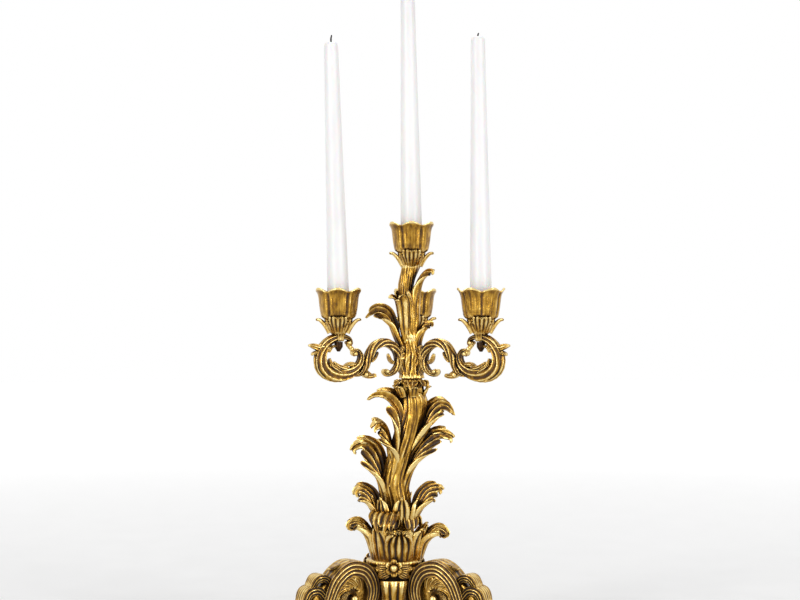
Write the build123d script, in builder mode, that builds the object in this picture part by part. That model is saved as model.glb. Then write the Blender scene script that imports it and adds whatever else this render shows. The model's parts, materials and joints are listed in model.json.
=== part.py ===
from build123d import *

import os
from math import cos, radians, sin

# Gilt candle holder with three scroll arms, a centre branch and four candle cups.
# Millimetres. X to the right, Y away from the viewer, Z up. The origin is on the floor,
# under the axis of the base.

# General clearances
thread_gap = 0.1
seat_gap = 0.3

# Base: felt, plate, column and scroll legs
felt_thick = 2
plate_thick = 4
plate_waist_r = 46
plate_beyond = 20
plate_corner_w = 44
plate_edge_r = 6
base_height = 92
column_r = 24
column_wall = 4
flange_beyond = 4
flange_thick = 12
flange_cove = 4
leg_azimuths = {"left": 210, "right": 330, "rear": 90}
leg_w = 24
leg_band = 8
leg_web = 12
foot_reach = 93
foot_half = 13
foot_thick = 3
pad_half = 7

# Ornaments between the legs
gap_azimuths = {"front": 270, "right": 30, "left": 150}
rosette_r = 8
rosette_thick = 5
bracket_w = 28
bracket_waist = 20
bracket_depth = 9
bracket_foot_z = 14
bracket_top_z = 75
flute_pitch = 6
flute_r = 1.8

# Leaf tiers on the stem bolt
stem_x = 3
bolt_r = 4
washer_r = 9
washer_thick = 1.6
nut_flats = 13
nut_thick = 6.5
vase_height = 36
vase_foot_r = 25
vase_neck_r = 17
tier_floor = 5
tier_wall_height = 18
tier_wall = 3
tier_wall_gap = 2
leaf_thick = 4
vase_leaf_thick = 5

# Trunk: share of its height, sideways place of its centre, radius
trunk_height = 125
trunk_foot_r = 13
trunk_stations = (
    (0.00, 3.0, trunk_foot_r),
    (0.12, 2.5, 13.0),
    (0.28, 0.5, 13.0),
    (0.45, 6.0, 12.5),
    (0.58, 10.5, 12.5),
    (0.71, 15.0, 13.0),
    (0.85, 20.0, 12.5),
    (1.00, 20.5, 14.0),
)
trunk_leaf_thick = 5
spigot_r = 2.5
spigot_depth = 6

# Collar, hub and centre branch
hub_x = 17.5
collar_height = 14
collar_r = 13
hub_height = 40
hub_r = 10
stud_r = 3
stud_depth = 18
branch_height = 73
branch_stations = (
    (0.00, 0.0, 10.0),
    (0.38, -3.5, 8.0),
    (0.74, -5.0, 7.5),
    (1.00, 0.0, 9.0),
)

# Arms
arm_azimuths = {"left": 207, "right": 327, "rear": 87}
arm_w = 9
arm_band = 7
cup_reach = 80.5
arm_pad_r = 8.5
arm_height = 47
tenon_r = 3.5
tenon_reach = 5
grub_r = 1.5
grub_reach = 7.2

# Cups, calyxes and their fasteners
calyx_height = 12
calyx_foot_r = 9
cup_height = 31
cup_foot_r = 14.5
cup_floor = 4.5
socket_depth = 21.5
petal_tip_r = 24.8
petals = 6
cup_bolt_r = 2
cup_head_r = 4
acorn_r = 4.2
acorn_height = 9.5

# Candles: their gap in the socket, length in all, lean towards the left in degrees
candle_r = 10.7
candle_gap = 0.7
candle_tip_r = 6.9
candle_tip_round = 3
left_candle_length = 266
right_candle_length = 271
centre_candle_length = 266
wick_r = 0.8
wick_seat = 10
left_wick_height = 8
right_wick_height = 4
centre_wick_height = 7
left_lean = 1.65
right_lean = 0.66
centre_lean = 0.9

# Radii and heights that follow
flange_r = column_r + flange_beyond
socket_r = candle_r + candle_gap
plate_z = felt_thick + plate_thick
vase_z = base_height
tier_z = vase_z + vase_height
trunk_z = tier_z + tier_floor
collar_z = trunk_z + trunk_height
hub_z = collar_z + collar_height
branch_z = hub_z + hub_height
centre_calyx_z = branch_z + branch_height
arm_top_z = hub_z + arm_height

os.makedirs("parts", exist_ok=True)


def save(piece, name):
    """Labels a finished piece and writes it under its name."""
    piece.label = name
    export_step(piece, f"parts/{name}.step")


def polar(reach, azimuth, height=0):
    """Point at a reach and azimuth from the Z axis."""
    return Vector(reach * cos(radians(azimuth)), reach * sin(radians(azimuth)), height)


def side_plane(x, azimuth, z=0):
    """Upright plane through an axis at x: its own X runs outwards and its own Y up."""
    return Plane(origin=(x, 0, z), x_dir=polar(1, azimuth), z_dir=polar(1, azimuth - 90))


def facing_plane(x, azimuth, z, reach):
    """Upright plane that faces outwards at a reach from an axis at x."""
    centre = Vector(x, 0, z) + polar(reach, azimuth)
    return Plane(origin=centre, x_dir=polar(1, azimuth + 90), z_dir=polar(1, azimuth))


def tangent_arcs(points, heading):
    """Arcs from point to point, each tangent to the one before, in the line being built."""
    for start, end in zip(points, points[1:]):
        arc = TangentArc(start, end, tangent=heading)
        heading = arc % 1


def leaf_blade(plane, spine, widths, thickness):
    """Leaf lofted through ovals square to its spine, which lies in an upright plane."""
    last = len(spine) - 1
    with BuildPart() as blade:
        for i, ((out, up), width) in enumerate(zip(spine, widths)):
            before = plane.from_local_coords(spine[max(i - 1, 0)])
            after = plane.from_local_coords(spine[min(i + 1, last)])
            centre = plane.from_local_coords((out, up))
            with BuildSketch(Plane(origin=centre, x_dir=plane.z_dir, z_dir=after - before)):
                Ellipse(width / 2, thickness * (1 - 0.4 * i / last) / 2)
        loft()
    return blade.part


def station_at(stations, share):
    """Centre and radius of a curved stem at a share of its height."""
    for (low, x0, r0), (high, x1, r1) in zip(stations, stations[1:]):
        if share <= high:
            part_way = (share - low) / (high - low)
            return x0 + (x1 - x0) * part_way, r0 + (r1 - r0) * part_way
    return stations[-1][1:]


def screw(plane, shank_r, length, head_r, head_height):
    """Cheese-head screw: the head stands on the plane and the shank runs below it."""
    with BuildPart() as piece:
        with BuildSketch(plane):
            Circle(head_r)
        extrude(amount=head_height)
        with BuildSketch(plane):
            Circle(shank_r)
        extrude(amount=-length)
    return piece.part


def sunk_screw(plane, shank_r, length, head_r):
    """Countersunk screw with its flat head in the plane and its shank below it."""
    cone = head_r - shank_r
    with BuildPart() as piece:
        with BuildSketch(plane):
            Circle(shank_r)
        extrude(amount=-length)
        with BuildSketch(plane):
            Circle(head_r)
        with BuildSketch(plane.offset(-cone)):
            Circle(shank_r)
        loft()
    return piece.part


def sunk_hole(plane, shank_r, length, head_r):
    """Space that a countersunk screw needs, with its thread gap."""
    return sunk_screw(plane, shank_r + thread_gap, length, head_r + thread_gap)


# Base felt and base plate: three-cornered, with hollow sides and one corner under each foot
with BuildSketch() as plate_outline:
    with BuildLine():
        for azimuth in leg_azimuths.values():
            end = polar(foot_reach + plate_beyond, azimuth)
            side_step = polar(plate_corner_w / 2, azimuth + 90)
            next_end = polar(foot_reach + plate_beyond, azimuth + 120)
            next_step = polar(plate_corner_w / 2, azimuth + 210)
            Line(end - side_step, end + side_step)
            ThreePointArc(end + side_step, polar(plate_waist_r, azimuth + 60), next_end - next_step)
    make_face()
    fillet(plate_outline.vertices(), plate_edge_r)

with BuildPart() as base_felt:
    with BuildSketch():
        add(plate_outline.sketch)
    extrude(amount=felt_thick)
save(base_felt.part, "base_felt")

foot_screw_r = 2.5
foot_screw_head_r = 4.5
foot_screw_length = 16
foot_planes = [
    Plane(origin=polar(foot_reach, azimuth, felt_thick), z_dir=(0, 0, -1))
    for azimuth in leg_azimuths.values()
]

with BuildPart() as base_plate:
    with BuildSketch(Plane.XY.offset(felt_thick)):
        add(plate_outline.sketch)
    extrude(amount=plate_thick)
    for plane in foot_planes:
        add(sunk_hole(plane, foot_screw_r, foot_screw_length, foot_screw_head_r), mode=Mode.SUBTRACT)
save(base_plate.part, "base_plate")

with BuildPart() as foot_screws:
    for plane in foot_planes:
        add(sunk_screw(plane, foot_screw_r, foot_screw_length, foot_screw_head_r))
save(foot_screws.part, "foot_screws")

# Column of the base, with spot faces for the screws that are driven from inside it
column_bore_r = column_r - column_wall
base_screw_r = 2.5
base_screw_head_r = 4
base_screw_head = 2.5
spot_depth = 0.6
leg_screw_heights = (50, 64)
leg_screw_length = 14
bracket_screw_height = 45
bracket_screw_length = 9
screw_seat = column_bore_r + spot_depth
leg_screw_planes = [
    facing_plane(0, azimuth, height, screw_seat)
    for azimuth in leg_azimuths.values()
    for height in leg_screw_heights
]
bracket_screw_planes = [
    facing_plane(0, azimuth, bracket_screw_height, screw_seat)
    for azimuth in gap_azimuths.values()
]
rosette_z = base_height - flange_thick / 2
rosette_stud_r = 2
rosette_stud_depth = 5

with BuildPart() as base_body:
    with BuildSketch(Plane.XZ):
        with BuildLine():
            Polyline(
                (column_bore_r, plate_z),
                (column_r, plate_z),
                (column_r, base_height - flange_thick - flange_cove),
                (flange_r, base_height - flange_thick),
                (flange_r, base_height - 2),
                (flange_r - 2, base_height),
                (0, base_height),
                (0, base_height - flange_thick),
                (column_bore_r, base_height - flange_thick),
                close=True,
            )
        make_face()
    revolve(axis=Axis.Z)
    with Locations((stem_x, 0, base_height)):
        Hole(bolt_r + thread_gap, flange_thick)
    for plane in leg_screw_planes + bracket_screw_planes:
        with BuildSketch(plane):
            Circle(base_screw_r + thread_gap)
        extrude(amount=column_wall, mode=Mode.SUBTRACT)
        with BuildSketch(plane):
            Circle(base_screw_head_r + 2 * thread_gap)
        extrude(amount=-base_screw_head - spot_depth, mode=Mode.SUBTRACT)
    for azimuth in gap_azimuths.values():
        with BuildSketch(facing_plane(0, azimuth, rosette_z, flange_r)):
            Circle(rosette_stud_r + thread_gap)
        extrude(amount=-rosette_stud_depth - seat_gap, mode=Mode.SUBTRACT)
save(base_body.part, "base_body")

with BuildPart() as column_space:
    with BuildSketch(Plane.XZ):
        with BuildLine():
            Polyline(
                (0, 0),
                (column_r, 0),
                (column_r, base_height - flange_thick - flange_cove),
                (flange_r, base_height - flange_thick),
                (flange_r, base_height + flange_thick),
                (0, base_height + flange_thick),
                close=True,
            )
        make_face()
    revolve(axis=Axis.Z)

# Screws are turned so that their heads lie towards the axis of the column
with BuildPart() as leg_screws:
    for plane in leg_screw_planes:
        inward = Plane(origin=plane.origin, z_dir=-plane.z_dir)
        add(screw(inward, base_screw_r, leg_screw_length, base_screw_head_r, base_screw_head))
save(leg_screws.part, "leg_screws")

with BuildPart() as bracket_screws:
    for plane in bracket_screw_planes:
        inward = Plane(origin=plane.origin, z_dir=-plane.z_dir)
        add(screw(inward, base_screw_r, bracket_screw_length, base_screw_head_r, base_screw_head))
save(bracket_screws.part, "bracket_screws")

# Scroll legs: the band winds from the foot over the shoulder into the volute
shoulder = (99, 50)
leg_top = (61, base_height - leg_band / 2)
volute_side = (30, 57)
volute_low = (52, 35)
volute_outer = (68.5, 51.5)
volute_upper = (55.5, 64.5)
volute_end = (46, 55)
eye = (53, 55.5)
eye_r = 6
shin = (88, 24)
web_back = (97, 38)
foot_curl = (foot_reach, plate_z + 5)


def scroll_leg(azimuth):
    """One leg, with the pad that seats on the column and the flat foot."""
    plane = side_plane(0, azimuth)
    low_screw, high_screw = leg_screw_heights
    with BuildPart() as leg:
        with BuildSketch(plane):
            with BuildLine() as winding:
                tangent_arcs(
                    (shoulder, leg_top, volute_side, volute_low, volute_outer, volute_upper, volute_end),
                    (0, 1),
                )
            trace(winding.line, leg_band)
            with BuildLine() as shank:
                tangent_arcs((shoulder, shin, foot_curl), (0, -1))
            trace(shank.line, leg_band)
            with Locations((foot_reach + 2, plate_z + foot_half)):
                Circle(foot_half)
            with Locations(eye):
                Circle(eye_r)
        extrude(amount=leg_w / 2, both=True)
        with BuildSketch(plane):
            with BuildLine():
                Line(volute_side, shin)
                ThreePointArc(shin, web_back, shoulder)
                crest = TangentArc(shoulder, leg_top, tangent=(0, 1))
                TangentArc(leg_top, volute_side, tangent=crest % 1)
            make_face()
        extrude(amount=leg_web / 2, both=True)
        with BuildSketch(facing_plane(0, azimuth, (low_screw + high_screw) / 2, 0)):
            Rectangle(2 * pad_half, high_screw - low_screw + 2 * pad_half)
        extrude(amount=volute_side[0] + leg_band / 2)
        add(column_space.part, mode=Mode.SUBTRACT)
        split(bisect_by=Plane.XY.offset(plate_z), keep=Keep.TOP)
        with BuildSketch(Plane(origin=polar(foot_reach, azimuth, plate_z), x_dir=polar(1, azimuth))):
            Rectangle(2 * foot_half, leg_w)
        extrude(amount=foot_thick)
        for height in leg_screw_heights:
            with BuildSketch(facing_plane(0, azimuth, height, screw_seat)):
                Circle(base_screw_r + thread_gap)
            extrude(amount=leg_screw_length + seat_gap, mode=Mode.SUBTRACT)
        with BuildSketch(Plane(origin=polar(foot_reach, azimuth, felt_thick))):
            Circle(foot_screw_r + thread_gap)
        extrude(amount=foot_screw_length + seat_gap, mode=Mode.SUBTRACT)
    return leg.part


for side, azimuth in leg_azimuths.items():
    save(scroll_leg(azimuth), f"leg_{side}")


# Rosettes and fluted brackets between the legs
def rosette(azimuth):
    """Five-petalled flower with a stud in the flange behind it."""
    with BuildPart() as flower:
        with BuildSketch(facing_plane(0, azimuth, rosette_z, flange_r - 2)):
            with PolarLocations(rosette_r * 0.6, 5, 90):
                Circle(rosette_r * 0.45)
            Circle(rosette_r * 0.6)
        extrude(amount=rosette_thick)
        with BuildSketch(facing_plane(0, azimuth, rosette_z, flange_r)):
            Circle(rosette_r * 0.4)
        extrude(amount=rosette_thick)
        add(column_space.part, mode=Mode.SUBTRACT)
        with BuildSketch(facing_plane(0, azimuth, rosette_z, flange_r + 1)):
            Circle(rosette_stud_r)
        extrude(amount=-rosette_stud_depth - 1)
    return flower.part


def bracket(azimuth):
    """Waisted bracket with three flutes, seated on the column."""
    height = bracket_top_z - bracket_foot_z
    middle = (bracket_top_z + bracket_foot_z) / 2
    half, waist = bracket_w / 2, bracket_waist / 2
    with BuildPart() as piece:
        with BuildSketch(facing_plane(0, azimuth, middle, column_r - 6)):
            with BuildLine():
                right = ThreePointArc((half, -height / 2), (waist, 0), (half, height / 2))
                Line(right @ 1, (-half, height / 2))
                ThreePointArc((-half, height / 2), (-waist, 0), (-half, -height / 2))
                Line((-half, -height / 2), right @ 0)
            make_face()
        extrude(amount=bracket_depth + 6)
        with BuildSketch(Plane.XY.offset(bracket_foot_z)):
            for offset in (-flute_pitch, 0, flute_pitch):
                with Locations(polar(column_r + bracket_depth, azimuth) + polar(offset, azimuth + 90)):
                    Circle(flute_r)
        extrude(amount=height, mode=Mode.SUBTRACT)
        add(column_space.part, mode=Mode.SUBTRACT)
        with BuildSketch(facing_plane(0, azimuth, bracket_screw_height, screw_seat)):
            Circle(base_screw_r + thread_gap)
        extrude(amount=bracket_screw_length + seat_gap, mode=Mode.SUBTRACT)
    return piece.part


for side, azimuth in gap_azimuths.items():
    save(rosette(azimuth), f"rosette_{side}")
    save(bracket(azimuth), f"bracket_{side}")

# Lower tier: a core on the flange with four broad leaves
vase_leaf = ((19, 6), (24, 14), (29, 22), (37, 29), (46, 31), (52, 28))
vase_leaf_widths = (24, 32, 34, 28, 16, 5)
front_vase_leaf = ((19, 6), (23, 12), (26, 18), (29, 23), (33, 26))
front_vase_widths = (24, 32, 34, 24, 8)
with BuildPart() as lower_leaf_vase:
    with BuildSketch(Plane.XZ.move(Location((stem_x, 0, 0)))):
        with BuildLine():
            Line((0, vase_z), (vase_foot_r - stem_x + 3, vase_z))
            Line((vase_foot_r - stem_x + 3, vase_z), (vase_foot_r - 5, vase_z + 7))
            Line((vase_foot_r - 5, vase_z + 7), (vase_neck_r, tier_z))
            Line((vase_neck_r, tier_z), (0, tier_z))
            Line((0, tier_z), (0, vase_z))
        make_face()
    revolve(axis=Axis((stem_x, 0, 0), (0, 0, 1)))
    for azimuth in (0, 90, 180):
        add(leaf_blade(side_plane(stem_x, azimuth, vase_z), vase_leaf, vase_leaf_widths, vase_leaf_thick))
    add(leaf_blade(side_plane(stem_x, 270, vase_z), front_vase_leaf, front_vase_widths, vase_leaf_thick))
    with Locations((stem_x, 0, tier_z)):
        Hole(bolt_r + thread_gap, vase_height)
save(lower_leaf_vase.part, "lower_leaf_vase")

# Upper tier: a floor, a wall round the trunk and four leaves, of which the front one folds down
tier_wall_r = trunk_foot_r + tier_wall_gap
upright_leaf = ((15, 4), (19, 14), (25, 25), (32, 33), (38, 34), (43, 30))
upright_widths = (20, 26, 28, 24, 14, 5)
folded_leaf = ((15, 4), (20, 13), (27, 19), (35, 17), (42, 8), (44, -4))
folded_widths = (20, 30, 36, 34, 24, 10)
with BuildPart() as upper_leaf_cup:
    with BuildSketch(Plane(origin=(stem_x, 0, tier_z))):
        Circle(vase_neck_r)
    extrude(amount=tier_floor)
    with BuildSketch(Plane(origin=(stem_x, 0, trunk_z))):
        Circle(tier_wall_r + tier_wall)
        Circle(tier_wall_r, mode=Mode.SUBTRACT)
    extrude(amount=tier_wall_height - tier_floor)
    for azimuth in (0, 90, 180):
        add(leaf_blade(side_plane(stem_x, azimuth, tier_z), upright_leaf, upright_widths, leaf_thick))
    add(leaf_blade(side_plane(stem_x, 258, tier_z), folded_leaf, folded_widths, leaf_thick))
    with BuildSketch(Plane(origin=(stem_x, 0, trunk_z))):
        Circle(tier_wall_r)
    extrude(amount=trunk_height, mode=Mode.SUBTRACT)
    with Locations((stem_x, 0, trunk_z)):
        Hole(bolt_r + thread_gap, tier_floor)
save(upper_leaf_cup.part, "upper_leaf_cup")


# Trunk and centre branch, lofted through level circles
def curved_stem(stations, foot_x, foot_z, height):
    """Solid stem that sways from side to side as its stations say."""
    with BuildPart() as stem:
        for share, x, radius in stations:
            with BuildSketch(Plane(origin=(foot_x + x, 0, foot_z + share * height))):
                Circle(radius)
        loft()
    return stem.part


# Each leaf on a stem: azimuth, height of its root as a share, spine from the stem's centre, widths
trunk_leaves = {
    "leaf_left_high": (
        170, 0.50,
        ((12, 0), (9, 20), (4, 38), (9, 52), (18, 60), (28, 61), (35, 58)),
        (8, 12, 18, 26, 26, 18, 6),
    ),
    "leaf_left_mid": (
        228, 0.39,
        ((12, 0), (11, 16), (15, 32), (23, 42), (33, 45), (40, 41)),
        (8, 13, 24, 30, 22, 6),
    ),
    "leaf_left_low": (
        180, 0.26,
        ((12, 0), (13, 15), (17, 30), (26, 41), (35, 43), (43, 34)),
        (14, 22, 28, 28, 20, 6),
    ),
    "leaf_right_high": (
        0, 0.71,
        ((13, 0), (17, 13), (24, 21), (35, 22), (44, 16), (49, 12)),
        (12, 20, 26, 26, 18, 6),
    ),
    "leaf_right_low": (
        345, 0.30,
        ((13, 0), (17, 17), (24, 33), (34, 45), (46, 52), (55, 49), (57, 42)),
        (14, 22, 26, 28, 24, 14, 6),
    ),
}
branch_leaves = {
    "branch_leaf_left": (
        180, 0.05,
        ((9, 0), (14, 10), (20, 18), (29, 22), (38, 20), (46, 16)),
        (10, 16, 20, 20, 14, 5),
    ),
    "branch_leaf_front": (
        255, 0.06,
        ((9, 0), (11, 16), (14, 30), (19, 38), (24, 37)),
        (10, 16, 20, 20, 12),
    ),
    "branch_leaf_upper": (
        0, 0.52,
        ((8, 0), (9, 12), (12, 23), (17, 30), (23, 31), (27, 29)),
        (8, 12, 16, 16, 12, 5),
    ),
    "branch_leaf_lower": (
        0, 0.04,
        ((7, 0), (11, 8), (16, 13), (21, 13), (25, 9)),
        (9, 14, 16, 12, 5),
    ),
}


def leaf_seats(leaves, stations, foot_x, foot_z, height):
    """Plane of each leaf at its root and radius of the stem there, by the leaf's name."""
    seats = {}
    for name, (azimuth, share, spine, widths) in leaves.items():
        x, radius = station_at(stations, share)
        spigot_share = share + 7 / height
        spigot_x, spigot_reach = station_at(stations, spigot_share)
        root = side_plane(foot_x + x, azimuth, foot_z + share * height)
        socket = facing_plane(
            foot_x + spigot_x, azimuth, foot_z + spigot_share * height, spigot_reach
        )
        seats[name] = (root, socket)
    return seats


def spigot(socket, radius, depth, proud):
    """Round spigot that runs a depth into the stem and stands proud of its surface."""
    with BuildPart() as pin:
        with BuildSketch(socket.offset(-depth)):
            Circle(radius)
        extrude(amount=depth + proud)
    return pin.part


def stem_leaf(stem, seat, spine, widths, thickness):
    """Leaf seated on its stem, with its spigot."""
    root, socket = seat
    blade = leaf_blade(root, spine, widths, thickness)
    peg = spigot(socket, spigot_r, spigot_depth, 1.5)
    with BuildPart() as leaf:
        add(blade)
        add(stem, mode=Mode.SUBTRACT)
        add(peg)
    return leaf.part


trunk_solid = curved_stem(trunk_stations, 0, trunk_z, trunk_height)
trunk_seats = leaf_seats(trunk_leaves, trunk_stations, 0, trunk_z, trunk_height)
trunk_drillings = [
    spigot(socket, spigot_r + thread_gap, spigot_depth + seat_gap, spigot_depth)
    for root, socket in trunk_seats.values()
]
bolt_top = trunk_z + 32
with BuildPart() as trunk:
    add(trunk_solid)
    add(trunk_drillings, mode=Mode.SUBTRACT)
    with BuildSketch(Plane(origin=(stem_x, 0, trunk_z))):
        Circle(bolt_r + thread_gap)
    extrude(amount=bolt_top - trunk_z + seat_gap, mode=Mode.SUBTRACT)
    with BuildSketch(Plane(origin=(hub_x, 0, collar_z))):
        Circle(stud_r + thread_gap)
    extrude(amount=-stud_depth - seat_gap, mode=Mode.SUBTRACT)
save(trunk.part, "trunk")
for name, (azimuth, share, spine, widths) in trunk_leaves.items():
    save(stem_leaf(trunk_solid, trunk_seats[name], spine, widths, trunk_leaf_thick), name)

branch_solid = curved_stem(branch_stations, hub_x, branch_z, branch_height)
branch_seats = leaf_seats(branch_leaves, branch_stations, hub_x, branch_z, branch_height)
with BuildPart() as centre_branch:
    add(branch_solid)
    with BuildSketch(Plane(origin=(hub_x, 0, branch_z))):
        Circle(stud_r + thread_gap)
    extrude(amount=stud_depth + seat_gap, mode=Mode.SUBTRACT)
    with BuildSketch(Plane(origin=(hub_x, 0, centre_calyx_z))):
        Circle(cup_bolt_r + thread_gap)
    extrude(amount=-stud_depth, mode=Mode.SUBTRACT)
save(centre_branch.part, "centre_branch")
for name, (azimuth, share, spine, widths) in branch_leaves.items():
    with BuildPart() as leaf:
        add(leaf_blade(branch_seats[name][0], spine, widths, leaf_thick))
        add(branch_solid, mode=Mode.SUBTRACT)
    save(leaf.part, name)

# Stem bolt with its washer and nut under the flange
nut_top = base_height - flange_thick - washer_thick
bolt_low = nut_top - nut_thick - 3
with BuildPart() as stem_bolt:
    with BuildSketch(Plane(origin=(stem_x, 0, bolt_low))):
        Circle(bolt_r)
    extrude(amount=bolt_top - bolt_low)
save(stem_bolt.part, "stem_bolt")

with BuildPart() as stem_washer:
    with BuildSketch(Plane(origin=(stem_x, 0, nut_top))):
        Circle(washer_r)
        Circle(bolt_r + thread_gap, mode=Mode.SUBTRACT)
    extrude(amount=washer_thick)
save(stem_washer.part, "stem_washer")

with BuildPart() as stem_nut:
    with BuildSketch(Plane(origin=(stem_x, 0, nut_top))):
        RegularPolygon(nut_flats / 2, 6, major_radius=False)
        Circle(bolt_r + thread_gap, mode=Mode.SUBTRACT)
    extrude(amount=-nut_thick)
save(stem_nut.part, "stem_nut")

# Collar with six small curled leaves
collar_leaf = ((10, 3), (14, 7), (17, 11), (20, 10))
collar_leaf_widths = (8, 10, 9, 4)
with BuildPart() as collar:
    with BuildSketch(Plane(origin=(hub_x, 0, collar_z))):
        Circle(collar_r)
    extrude(amount=collar_height)
    for index in range(6):
        plane = side_plane(hub_x, 30 + 60 * index, collar_z)
        add(leaf_blade(plane, collar_leaf, collar_leaf_widths, 3))
    with Locations((hub_x, 0, hub_z)):
        Hole(stud_r + thread_gap, collar_height)
save(collar.part, "collar")

# Hub with a tenon socket and a grub screw hole for each arm
tenon_z = hub_z + 20
grub_length = tenon_z - tenon_r - hub_z - 1
with BuildPart() as hub:
    with BuildSketch(Plane.XZ.move(Location((hub_x, 0, 0)))):
        with BuildLine():
            Polyline(
                (0, hub_z),
                (hub_r + 1.5, hub_z),
                (hub_r + 1.5, hub_z + 4),
                (hub_r, hub_z + 6),
                (hub_r, branch_z - 6),
                (hub_r + 1, branch_z - 4),
                (hub_r, branch_z),
                (0, branch_z),
                close=True,
            )
        make_face()
    revolve(axis=Axis((hub_x, 0, 0), (0, 0, 1)))
    with Locations((hub_x, 0, branch_z)):
        Hole(stud_r + thread_gap, hub_height)
    for azimuth in arm_azimuths.values():
        with BuildSketch(facing_plane(hub_x, azimuth, tenon_z, tenon_reach - seat_gap)):
            Circle(tenon_r + thread_gap)
        extrude(amount=hub_r, mode=Mode.SUBTRACT)
        grub_foot = Vector(hub_x, 0, hub_z) + polar(grub_reach, azimuth)
        with BuildSketch(Plane(origin=grub_foot)):
            Circle(grub_r + thread_gap)
        extrude(amount=tenon_z - hub_z, mode=Mode.SUBTRACT)
save(hub.part, "hub")

with BuildPart() as hub_stud:
    with BuildSketch(Plane(origin=(hub_x, 0, collar_z - stud_depth))):
        Circle(stud_r)
    extrude(amount=collar_height + hub_height + 2 * stud_depth)
save(hub_stud.part, "hub_stud")

with BuildPart() as arm_grub_screws:
    for azimuth in arm_azimuths.values():
        grub_foot = Vector(hub_x, 0, hub_z + 1) + polar(grub_reach, azimuth)
        with BuildSketch(Plane(origin=grub_foot)):
            Circle(grub_r)
        extrude(amount=grub_length)
save(arm_grub_screws.part, "arm_grub_screws")

with BuildPart() as hub_space:
    with Locations((hub_x, 0, hub_z)):
        Cylinder(hub_r, hub_height, align=(Align.CENTER, Align.CENTER, Align.MIN))

# Arms: points are reach from the hub's axis and height above its foot
inner_arch = ((28, 4.5), (14.8, 19), (31, 36), (48, 22), (58, 7))
outer_scroll = (
    (cup_reach - 10, 37),
    (cup_reach + 2, 41),
    (cup_reach + 20.5, 20),
    (cup_reach - 1, 4.5),
    (cup_reach - 24, 20),
    (cup_reach - 16, 28),
)
inner_bead = (28, 8)
top_bead = (cup_reach - 10, 35.5)
side_bead = (cup_reach - 17, 25)
bead_r = 4
arm_leaf = ((cup_reach + 14, 33), (cup_reach + 24, 29), (cup_reach + 33, 32))
arm_leaf_widths = (arm_w, arm_w, 4)
pad_low = 37
nut_space_r = max(acorn_r, arm_w / 2) + 1


def scroll_arm(azimuth):
    """Pierced scroll arm with its tenon in the hub and its pad under the cup."""
    plane = side_plane(hub_x, azimuth, hub_z)
    tip = leaf_blade(plane, arm_leaf, arm_leaf_widths, 5)
    pad_axis = Vector(hub_x, 0, 0) + polar(cup_reach, azimuth)
    with BuildPart() as arm:
        with BuildSketch(plane):
            with BuildLine() as arch:
                tangent_arcs(inner_arch, (-1, 0))
            trace(arch.line, arm_band)
            with BuildLine() as ring:
                tangent_arcs(outer_scroll, (0.9, 0.4))
            trace(ring.line, arm_band)
            for centre in (inner_bead, top_bead, side_bead):
                with Locations(centre):
                    Circle(bead_r)
        extrude(amount=arm_w / 2, both=True)
        add(tip)
        with BuildSketch(Plane(origin=pad_axis + Vector(0, 0, hub_z + pad_low))):
            Circle(arm_pad_r)
        extrude(amount=arm_height - pad_low)
        with BuildSketch(facing_plane(hub_x, azimuth, tenon_z, hub_r - 4)):
            Rectangle(arm_w, 12)
        extrude(amount=inner_arch[1][0] - hub_r + 4)
        add(hub_space.part, mode=Mode.SUBTRACT)
        with BuildSketch(facing_plane(hub_x, azimuth, tenon_z, tenon_reach)):
            Circle(tenon_r)
        extrude(amount=inner_arch[1][0] - tenon_reach)
        with BuildSketch(Plane(origin=pad_axis + Vector(0, 0, arm_top_z))):
            Circle(cup_bolt_r + thread_gap)
        extrude(amount=pad_low - arm_height, mode=Mode.SUBTRACT)
        with BuildSketch(Plane(origin=pad_axis + Vector(0, 0, hub_z + pad_low))):
            Circle(nut_space_r)
        extrude(amount=-acorn_height - seat_gap, mode=Mode.SUBTRACT)
    return arm.part


for side, azimuth in arm_azimuths.items():
    save(scroll_arm(azimuth), f"arm_{side}")

# Calyxes and cups, each above its seat
cup_seats = {
    side: Vector(hub_x, 0, arm_top_z) + polar(cup_reach, azimuth)
    for side, azimuth in arm_azimuths.items()
}
cup_seats["centre"] = Vector(hub_x, 0, centre_calyx_z)
petal_turns = {"left": 0, "right": 30, "rear": 0, "centre": 0}
calyx_leaf = ((7, 3), (13, 5), (18, 8), (22, 11), (24, 13))
calyx_leaf_widths = (8, 13, 15, 11, 5)
calyx_top_r = cup_foot_r - 0.5


def calyx(seat):
    """Ring of four leaves under a cup."""
    with BuildPart() as ring:
        with BuildSketch(Plane(origin=seat)):
            Circle(calyx_foot_r)
        with BuildSketch(Plane(origin=seat + Vector(0, 0, calyx_height - 4))):
            Circle(calyx_top_r - 1)
        with BuildSketch(Plane(origin=seat + Vector(0, 0, calyx_height))):
            Circle(calyx_top_r)
        loft(ruled=True)
        for azimuth in (0, 90, 180, 270):
            plane = Plane(origin=seat, x_dir=polar(1, azimuth), z_dir=polar(1, azimuth - 90))
            add(leaf_blade(plane, calyx_leaf, calyx_leaf_widths, 3))
        with BuildSketch(Plane(origin=seat + Vector(0, 0, calyx_height))):
            Circle(cup_bolt_r + thread_gap)
        extrude(amount=-calyx_height, mode=Mode.SUBTRACT)
    return ring.part


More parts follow.
